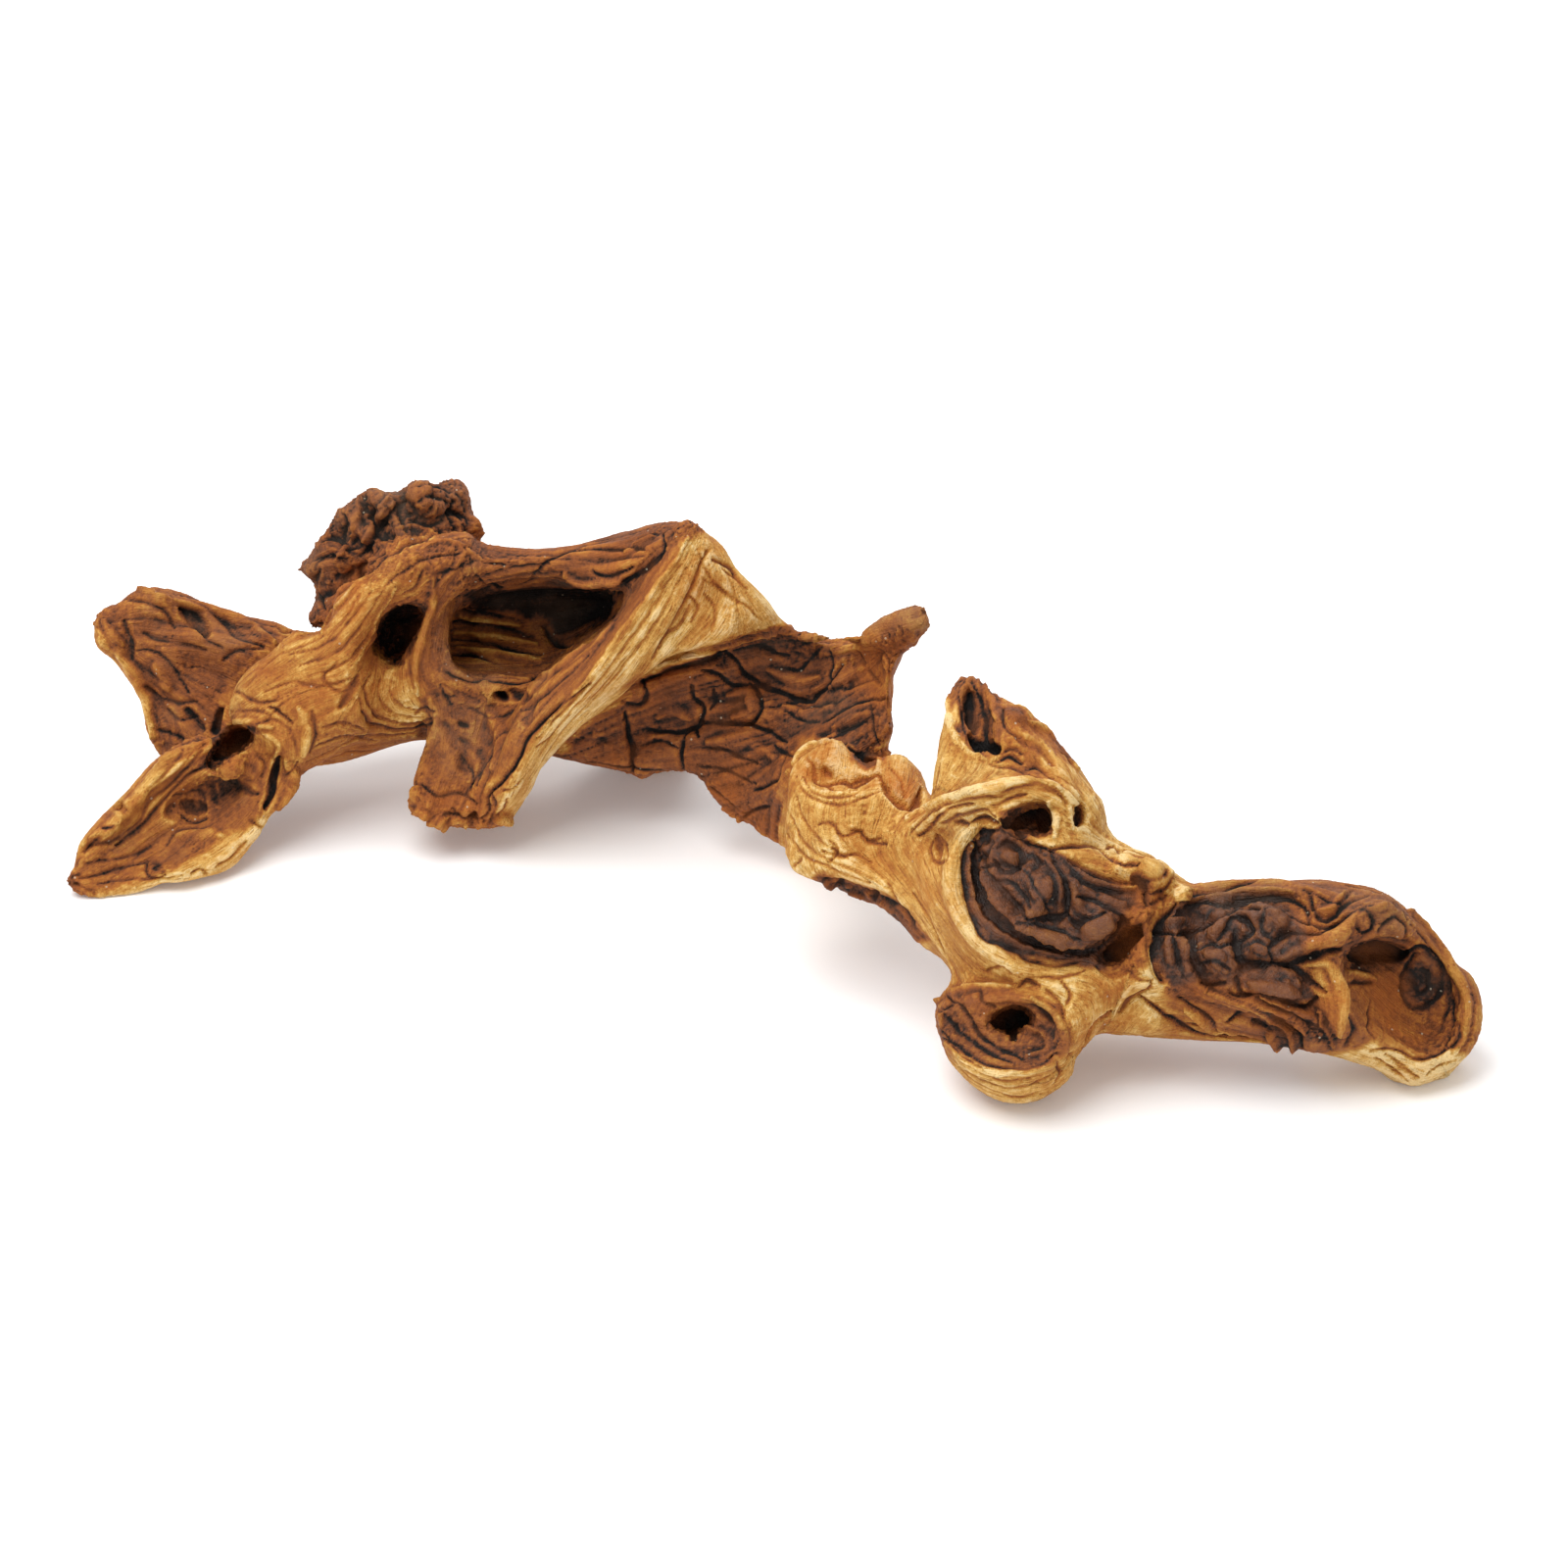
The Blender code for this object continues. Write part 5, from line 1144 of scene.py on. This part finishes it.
def grain_directions(wood, tree):
    """The direction of the grain at each point, mixed from the nearby grain lines."""
    lines = [laid_line(tree, spots, GRAIN_SPACING) for spots in GRAIN]
    starts = np.concatenate([line[0] for line in lines if len(line[0])])
    ends = np.concatenate([line[1] for line in lines if len(line[0])])
    middles = (starts + ends) / 2
    ways = (ends - starts) / np.linalg.norm(ends - starts, axis=1, keepdims=True)
    middles, ways = middles.astype(np.float32), ways.astype(np.float32)
    found = np.empty_like(wood.points)
    for first in range(0, wood.count, POINTS_AT_ONCE):
        points = wood.points[first:first + POINTS_AT_ONCE].astype(np.float32)
        apart = (points ** 2).sum(1)[:, None] + (middles ** 2).sum(1) - 2 * points @ middles.T
        weights = 1 / (np.clip(apart, 0, None) + GRAIN_REACH ** 2) ** 2
        weights *= np.sign(ways[apart.argmin(1)] @ ways.T)
        found[first:first + POINTS_AT_ONCE] = weights @ ways
    found -= wood.normals * (found * wood.normals).sum(1, keepdims=True)
    return found / (np.linalg.norm(found, axis=1, keepdims=True) + 1e-12)


class Flow:
    """Walks along the grain, read from the cells of a grid over the wood."""

    def __init__(self, wood, ways):
        self.low = wood.points.min(0) - 2 * FLOW_CELL
        self.shape = tuple(np.ceil((wood.points.max(0) - self.low) / FLOW_CELL).astype(int) + 3)
        self.ways = np.zeros((*self.shape, 3))
        self.ways[self.cells(wood.points)] = ways
        self.start = wood.points
        self.first = ways

    def cells(self, points):
        """The grid cells that points lie in."""
        cell = np.floor((points - self.low) / FLOW_CELL).astype(int)
        return tuple(np.clip(cell, 0, np.array(self.shape) - 1).T)

    def combed(self, size, reach, seed, samples=8):
        """Noise with lumps of the given size, drawn out along the grain; about -1 to 1."""
        step = reach / samples
        value = cloud(self.start, size, seed)
        for way in (self.first, -self.first):
            points = self.start.copy()
            for i in range(samples):
                points += way * step
                value += cloud(points, size, seed) * (1 - i / samples)
                found = self.ways[self.cells(points)]
                turn = np.sign((found * way).sum(1, keepdims=True))
                way = np.where(turn == 0, way, found * turn)
        return np.clip(value / (2 * value.std()), -1, 1)


# Painting

def inside(spots, outline):
    """Signed distance (units, positive inside) of each spot to an outline's edge."""
    corners = np.array(outline, float)
    nearest = np.full(len(spots), np.inf)
    within = np.zeros(len(spots), bool)
    for start, end in zip(corners, np.roll(corners, -1, axis=0)):
        edge = end - start
        away = spots - start
        along = np.clip(away @ edge / (edge @ edge), 0, 1)
        nearest = np.minimum(nearest, np.linalg.norm(away - along[:, None] * edge, axis=1))
        crosses = (start[1] > spots[:, 1]) != (end[1] > spots[:, 1])
        if crosses.any():
            x = start[0] + (spots[:, 1] - start[1]) / (end[1] - start[1]) * edge[0]
            within ^= crosses & (spots[:, 0] < x)
    return np.where(within, nearest, -nearest)


def seen_from_eye(spots, depth, normals):
    """Which points the eye sees: those near the front of their small cell of the view."""
    cells = np.floor(spots / VIEW_CELL).astype(int)
    _, index = np.unique(cells[:, 0] * VIEW_UNITS + cells[:, 1], return_inverse=True)
    front = np.full(index.max() + 1, np.inf)
    np.minimum.at(front, index, depth)
    return (depth < front[index] + SEEN_BEHIND) & (normals @ np.array(SIGHT) < 0.1)


def cover(spots, outline, softness):
    """How much a painted region covers each spot, from 0 to 1 across its soft edge."""
    return np.clip(0.5 + inside(spots, outline) / (2 * softness), 0, 1)


def painted(wood):
    """How dark, how burled and how rusty each point is, from the regions of the front view."""
    spots, depth = seen_spots(wood.points)
    seen = seen_from_eye(spots, depth, wood.normals)
    front = np.flatnonzero(seen)
    wavy = spots[front]
    for (size, reach), seeds in zip(EDGE_WAVES, ((1, 2), (3, 4))):
        waves = [cloud(wood.points[front], size, SEED + k) for k in seeds]
        wavy = wavy + reach * np.stack(waves, axis=1)
    values = np.zeros((wood.count, 3))
    values[:, 0] = BASE_TONE
    for _, tone, burl, softness, outline in REGIONS:
        part = cover(wavy, outline, softness)
        values[front, 0] += (tone - values[front, 0]) * part
        values[front, 1] += (burl - values[front, 1]) * part
    for _, tint, softness, outline in TINTS:
        values[front, 2] += (tint - values[front, 2]) * cover(wavy, outline, softness)
    # The hidden sides take the nearest seen values, and further back lie patches.
    samples = front[::SEEN_SAMPLES]
    tree = KDTree(len(samples))
    for i in samples:
        tree.insert(wood.points[i], int(i))
    tree.balance()
    hidden = np.flatnonzero(~seen)
    found = [tree.find(wood.points[i])[1:] for i in hidden]
    nearest = np.array([i for i, _ in found])
    near = np.exp(-np.array([away for _, away in found]) / BURL_REACH)
    values[hidden] = values[nearest]
    values[hidden, 1:] *= near[:, None]
    patches = 0.5 + 0.35 * cloud(wood.points[hidden], HIDDEN_PATCHES, SEED + 6)
    values[hidden, 0] += (patches - values[hidden, 0]) * 0.45 * (1 - near)
    for column in range(3):
        blurred = wood.smoothed(values[:, column], 10)
        values[hidden, column] = blurred[hidden]
    return values.T


# Material

def linear(code):
    """The linear colour of an sRGB hex code."""
    parts = [int(code[i:i + 2], 16) / 255 for i in (1, 3, 5)]
    return [*(c / 12.92 if c <= 0.04045 else ((c + 0.055) / 1.055) ** 2.4 for c in parts), 1.0]


def add_node(tree, kind, settings=(), **inputs):
    """Adds a node with its settings; an input is a value or another node's output."""
    made = tree.nodes.new("ShaderNode" + kind)
    for name, value in dict(settings).items():
        setattr(made, name, value)
    for name, value in inputs.items():
        numbered = name[0] == "n" and name[1:].isdigit()
        socket = made.inputs[int(name[1:]) if numbered else name.replace("_", " ")]
        if isinstance(value, bpy.types.NodeSocket):
            tree.links.new(value, socket)
        else:
            socket.default_value = value
    return made


# How the wood's colour runs from its pale outer wood to the dark inner wood, and the colours
# that are mixed into it.
WOOD_TONES = (
    (0.00, "#F3D193"),
    (0.14, "#DCAC5C"),
    (0.30, "#BE8338"),
    (0.46, "#A66429"),
    (0.62, "#8B4E25"),
    (0.78, "#683A20"),
    (0.90, "#3F2517"),
    (1.00, "#0D0805"),
)
BURL_BARK = "#35231A"
RUST = "#B4601C"
ASH = "#6F5846"
DUST = "#D8C8AC"

# Sizes (mm) of the patterns in the wood. Its fibres and grit are drawn coarser than the real
# ones, which are too fine to show.
ASH_PATCHES = 24
ROTTEN_PATCHES = 15
MOTTLE = 12
STAINS = 4
DUST_SPACING = 3.4
PIT_SPACING = 1.6
COARSE_FIBRE = 1.3
GRIT = 1.1
FINE_FIBRE = 0.55


def weathered_mopani():
    """Sandblasted mopani: matt, with pale straw sapwood, red-brown heartwood and dark burls.

    To the eye the pale wood is fibrous and flecked, the dark wood plainer, and the bark of
    the burls slightly glossy. All of it has rusty and ashen patches, rotten spots full of
    small pits, and a few specks of dust. Its cracks, hollows and creases are painted darker
    as shade, and its ridges paler as light.
    """
    material = bpy.data.materials.new("weathered mopani wood")
    material.use_nodes = True
    tree = material.node_tree
    shader = tree.nodes["Principled BSDF"]
    place = add_node(tree, "TexCoord").outputs["Object"]
    grain = add_node(tree, "Attribute", {"attribute_name": "grain"}).outputs["Vector"]

    def calc(operation, a, b, c=0.0, clamp=False):
        settings = {"operation": operation, "use_clamp": clamp}
        return add_node(tree, "Math", settings, n0=a, n1=b, n2=c).outputs[0]

    def noise(size_mm, detail, roughness=0.5, at=place):
        made = add_node(
            tree, "TexNoise", Vector=at, Scale=1000 / size_mm, Detail=detail,
            Roughness=roughness,
        )
        return calc("SUBTRACT", made.outputs["Fac"], 0.5)

    def fibres(width_mm, reach):
        """Noise that is drawn out along the grain, from samples a fibre's width apart."""
        total = noise(width_mm, 1)
        for step in (*range(-reach, 0), *range(1, reach + 1)):
            shift = (step * width_mm * MM,) * 3
            at = add_node(
                tree, "VectorMath", {"operation": "MULTIPLY_ADD"}, n0=grain, n1=shift, n2=place,
            ).outputs[0]
            total = calc("ADD", total, noise(width_mm, 1, at=at))
        return calc("MULTIPLY", total, 1.6 / math.sqrt(2 * reach + 1))

    def mixed(factor, a, b):
        return add_node(
            tree, "Mix", {"data_type": "RGBA"}, Factor=factor, n6=a, n7=b,
        ).outputs[2]

    tone, streak, cavity_shading, dark, burl, tint = (
        add_node(tree, "Attribute", {"attribute_name": name}).outputs["Fac"]
        for name in ("tone", "streak", "cavity_shading", "dark", "burl", "tint")
    )
    mottle = noise(MOTTLE, 5, 0.6)
    grit = noise(GRIT, 4, 0.75)
    fine = fibres(FINE_FIBRE, 3)
    coarse = fibres(COARSE_FIBRE, 2)

    def spots(apart_mm, radius):
        """Small round spots, and a random value for each."""
        cells = add_node(tree, "TexVoronoi", Vector=place, Scale=1000 / apart_mm)
        picked = add_node(tree, "SeparateColor", Color=cells.outputs["Color"]).outputs[0]
        return calc("LESS_THAN", cells.outputs["Distance"], radius), picked

    spot, picked = spots(DUST_SPACING, 0.11)
    dust = calc("MULTIPLY", spot, calc("LESS_THAN", picked, 0.14))
    pit, picked = spots(PIT_SPACING, 0.30)
    rotten = calc("MULTIPLY_ADD", noise(ROTTEN_PATCHES, 2), 6.0, -0.35, clamp=True)
    pits = calc("MULTIPLY", calc("MULTIPLY", pit, rotten), calc("GREATER_THAN", picked, 0.45))
    fibrous = calc("MULTIPLY_ADD", tone, -0.75, 1.05)
    fine = calc("MULTIPLY", fine, fibrous)
    coarse = calc("MULTIPLY", coarse, fibrous)
    flecks = calc("MULTIPLY_ADD", fine, 5.0, -0.9, clamp=True)
    stains = noise(STAINS, 3, 0.7)
    # How much darker, or paler if below 0, each pattern makes the wood. The streaks hold painted
    #     shade in the grooves along with the grain, and the cavity values paint hollows darker and
    #     ridges paler, as painted shade and light.
    for amount, value in (
        (0.40, mottle), (0.10, streak), (0.24, grit), (0.22, fine), (0.16, coarse),
        (-0.20, cavity_shading), (0.20, pits), (0.22, flecks), (0.42, stains),
    ):
        tone = calc("MULTIPLY_ADD", value, amount, tone)
    # The strokes' darkness and the creases darken the tone: painted shade in cracks, hollows and
    # creases, and the dark colour of knots.
    tone = calc("MULTIPLY_ADD", dark, 0.55, tone, clamp=True)
    ramp = add_node(tree, "ValToRGB", Fac=tone)
    elements = ramp.color_ramp.elements
    while len(elements) < len(WOOD_TONES):
        elements.new(0.5)
    for element, (position, code) in zip(elements, WOOD_TONES):
        element.position = position
        element.color = linear(code)
    patches = calc("MULTIPLY_ADD", tint, 0.28, noise(ASH_PATCHES, 3, 0.6))
    rusty = calc("MULTIPLY", patches, 1.6, clamp=True)
    ashen = calc("MULTIPLY_ADD", patches, -1.5, -0.12, clamp=True)
    colour = mixed(rusty, ramp.outputs["Color"], linear(RUST))
    colour = mixed(ashen, colour, linear(ASH))
    colour = mixed(calc("MULTIPLY", burl, 0.45), colour, linear(BURL_BARK))
    colour = mixed(calc("MULTIPLY", dust, 0.5), colour, linear(DUST))
    tree.links.new(colour, shader.inputs["Base Color"])
    gloss = calc("MULTIPLY_ADD", burl, 0.14, 0.26)
    tree.links.new(gloss, shader.inputs["Specular IOR Level"])
    rough = calc("MULTIPLY_ADD", burl, -0.27, calc("MULTIPLY_ADD", mottle, 0.3, 0.68))
    tree.links.new(rough, shader.inputs["Roughness"])
    relief = calc("MULTIPLY", grit, -0.5 * MM)
    for amount, value in ((-0.6 * MM, fine), (-0.6 * MM, coarse), (-0.2 * MM, pits)):
        relief = calc("MULTIPLY_ADD", value, amount, relief)
    bump = add_node(tree, "Bump", Height=relief, Strength=1.0, Distance=1.0)
    tree.links.new(bump.outputs["Normal"], shader.inputs["Normal"])
    return material


# The root

def weathering(wood, flow, tone, burl):
    """The relief all round: combed ridges, deep in the dark wood, and nodules on the burls.

    Gives the heights, the streaks in the grain with painted shade in the valleys between the
    combed ridges, and how dark the creases are painted, as shade.
    """
    hard = np.clip((tone - 0.42) / 0.3, 0, 1)
    hard = hard * hard * (3 - 2 * hard)
    broad = np.abs(flow.combed(*BROAD_RIDGES, SEED + 10))
    middle = np.abs(flow.combed(*MIDDLE_RIDGES, SEED + 11))
    thread = flow.combed(*THREADS, SEED + 12)
    heights = (0.5 + 0.8 * hard) * (broad - 0.4) + (0.35 + 0.35 * hard) * (middle - 0.4)
    heights += (0.15 + 0.10 * hard) * thread
    torn = np.clip(0.4 + 1.2 * cloud(wood.points, TORN_PATCHES, SEED + 15), 0, 1)
    creases = torn * np.clip(1 - middle / 0.10, 0, 1) * (0.25 + 0.75 * hard) * (1 - burl)
    lumps = nodules(wood.points, BURL_LUMPS, SEED + 13)
    small = nodules(wood.points, BURL_GRAINS, SEED + 14)
    heights = heights * (1 - 0.7 * burl) + burl * (0.7 * (lumps - 0.6) + 0.55 * (small - 0.6))
    heights -= 0.40 * creases
    # The streaks are darker in the valleys of the combed ridges and the creases darker still:
    # painted shade.
    return heights * MM, 0.55 * thread + 0.9 * (0.4 - middle), 0.17 * creases


def carved_wood(node):
    """The fine mesh of the whole root, carved, with the values that its material reads."""
    wood = Wood(fine_copy(node))
    bm = bmesh.new()
    bm.from_mesh(wood.mesh)
    tree = BVHTree.FromBMesh(bm)
    bm.free()
    tone, burl, tint = painted(wood)
    ways = grain_directions(wood, tree)
    relief, streak, creases = weathering(wood, Flow(wood, ways), tone, burl)
    heights, dark = carve(wood, tree, STROKES)
    wood.move(relief * (1 - 0.5 * np.clip(dark, 0, 1)) + heights)
    # Painted shade and light: hollows of the carved skin are painted darker and its ridges paler,
    # by how far each point lies below or above its smoothed surroundings.
    cavity_shading = np.zeros(wood.count)
    for steps, depth in CAVITY_LEVELS:
        level = np.stack([wood.smoothed(wood.points[:, i], steps) for i in range(3)], axis=1)
        cavity_shading += 0.6 * ((wood.points - level) * wood.normals).sum(1) / depth
    # dark holds the painted shade of cracks, hollows and creases, and the dark colour of knots.
    values = {
        "tone": tone, "burl": burl, "tint": tint, "dark": np.maximum(dark, creases),
        "streak": np.clip(streak, -1, 1), "cavity_shading": np.clip(cavity_shading, -1.2, 1.2),
    }
    for name, column in values.items():
        layer = wood.mesh.attributes.new(name, "FLOAT", "POINT")
        layer.data.foreach_set("value", column.astype(np.float32))
    layer = wood.mesh.attributes.new("grain", "FLOAT_VECTOR", "POINT")
    layer.data.foreach_set("vector", ways.astype(np.float32).ravel())
    return wood


def part_in_pieces(wood):
    """Parts the wood along planes across X in closed pieces that keep its smooth shading."""
    whole = bmesh.new()
    whole.from_mesh(wood.mesh)
    for place in PARTINGS:
        bmesh.ops.bisect_plane(
            whole, geom=[*whole.verts, *whole.edges, *whole.faces],
            plane_co=(place * MM, 0, 0), plane_no=(1, 0, 0), dist=1e-7,
        )
    whole.normal_update()
    memory = whole.verts.layers.float_vector.new("skin normal")
    for vert in whole.verts:
        vert[memory] = vert.normal
    limits = [-math.inf, *(place * MM for place in PARTINGS), math.inf]
    pieces = []
    for name, low, high in zip(PIECES, limits, limits[1:]):
        bm = whole.copy()
        outside = [f for f in bm.faces if not low < f.calc_center_median().x < high]
        bmesh.ops.delete(bm, geom=outside, context="FACES")
        rims = [edge for edge in bm.edges if edge.is_boundary]
        bmesh.ops.holes_fill(bm, edges=rims)
        mesh = bpy.data.meshes.new(name)
        memory = bm.verts.layers.float_vector["skin normal"]
        normals = [vert[memory].copy() for vert in bm.verts]
        bm.to_mesh(mesh)
        bm.free()
        mesh.shade_smooth()
        mesh.normals_split_custom_set_from_vertices(normals)
        mesh.attributes.remove(mesh.attributes["skin normal"])
        piece = bpy.data.objects.new(name, mesh)
        bpy.context.scene.collection.objects.link(piece)
        pieces.append(piece)
    whole.free()
    return pieces


def studio():
    """A pale floor, two soft lamps and the camera of the front view."""
    bm = bmesh.new()
    bmesh.ops.create_grid(bm, x_segments=1, y_segments=1, size=FLOOR_SIZE)
    mesh = bpy.data.meshes.new("floor")
    bm.to_mesh(mesh)
    bm.free()
    floor = bpy.data.objects.new("floor", mesh)
    bpy.context.scene.collection.objects.link(floor)
    paper = bpy.data.materials.new("matt white studio paper")
    paper.use_nodes = True
    surface = paper.node_tree.nodes["Principled BSDF"].inputs
    surface["Base Color"].default_value = linear(FLOOR_COLOUR)
    surface["Roughness"].default_value = 0.9
    surface["Emission Color"].default_value = (1, 1, 1, 1)
    surface["Emission Strength"].default_value = FLOOR_GLOW
    mesh.materials.append(paper)
    world = bpy.data.worlds.new("studio")
    world.use_nodes = True
    sky = world.node_tree.nodes["Background"].inputs
    sky["Color"].default_value = (1, 1, 1, 1)
    sky["Strength"].default_value = WORLD_LIGHT
    bpy.context.scene.world = world
    for name, place, size, power in LAMPS:
        lamp = bpy.data.lights.new(name, "AREA")
        lamp.size = size
        lamp.energy = power
        made = bpy.data.objects.new(name, lamp)
        made.location = place
        made.rotation_mode = "QUATERNION"
        made.rotation_quaternion = (VIEW_MIDDLE - Vector(place)).to_track_quat("-Z", "Y")
        bpy.context.scene.collection.objects.link(made)
    lens = bpy.data.cameras.new("front view")
    lens.sensor_width = SENSOR
    lens.lens = SENSOR * VIEW_DISTANCE / VIEW_WIDTH
    camera = bpy.data.objects.new("front view", lens)
    camera.location = EYE
    camera.rotation_mode = "QUATERNION"
    camera.rotation_quaternion = SIGHT.to_track_quat("-Z", "Y")
    bpy.context.scene.collection.objects.link(camera)
    bpy.context.scene.camera = camera
    bpy.context.scene.view_settings.view_transform = "Standard"


# The scene

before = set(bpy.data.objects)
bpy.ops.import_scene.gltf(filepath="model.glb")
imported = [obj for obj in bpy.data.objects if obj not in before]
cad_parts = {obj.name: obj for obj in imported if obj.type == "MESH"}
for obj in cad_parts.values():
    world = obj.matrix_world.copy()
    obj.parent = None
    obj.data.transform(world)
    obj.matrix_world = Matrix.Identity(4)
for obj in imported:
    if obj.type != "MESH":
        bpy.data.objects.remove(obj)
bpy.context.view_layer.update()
studio()
finish = weathered_mopani()
wood = carved_wood(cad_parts["mopani_root"])
for piece in part_in_pieces(wood):
    piece.data.materials.clear()
    piece.data.materials.append(finish)
    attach(piece, "root")
    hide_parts("mopani_root")
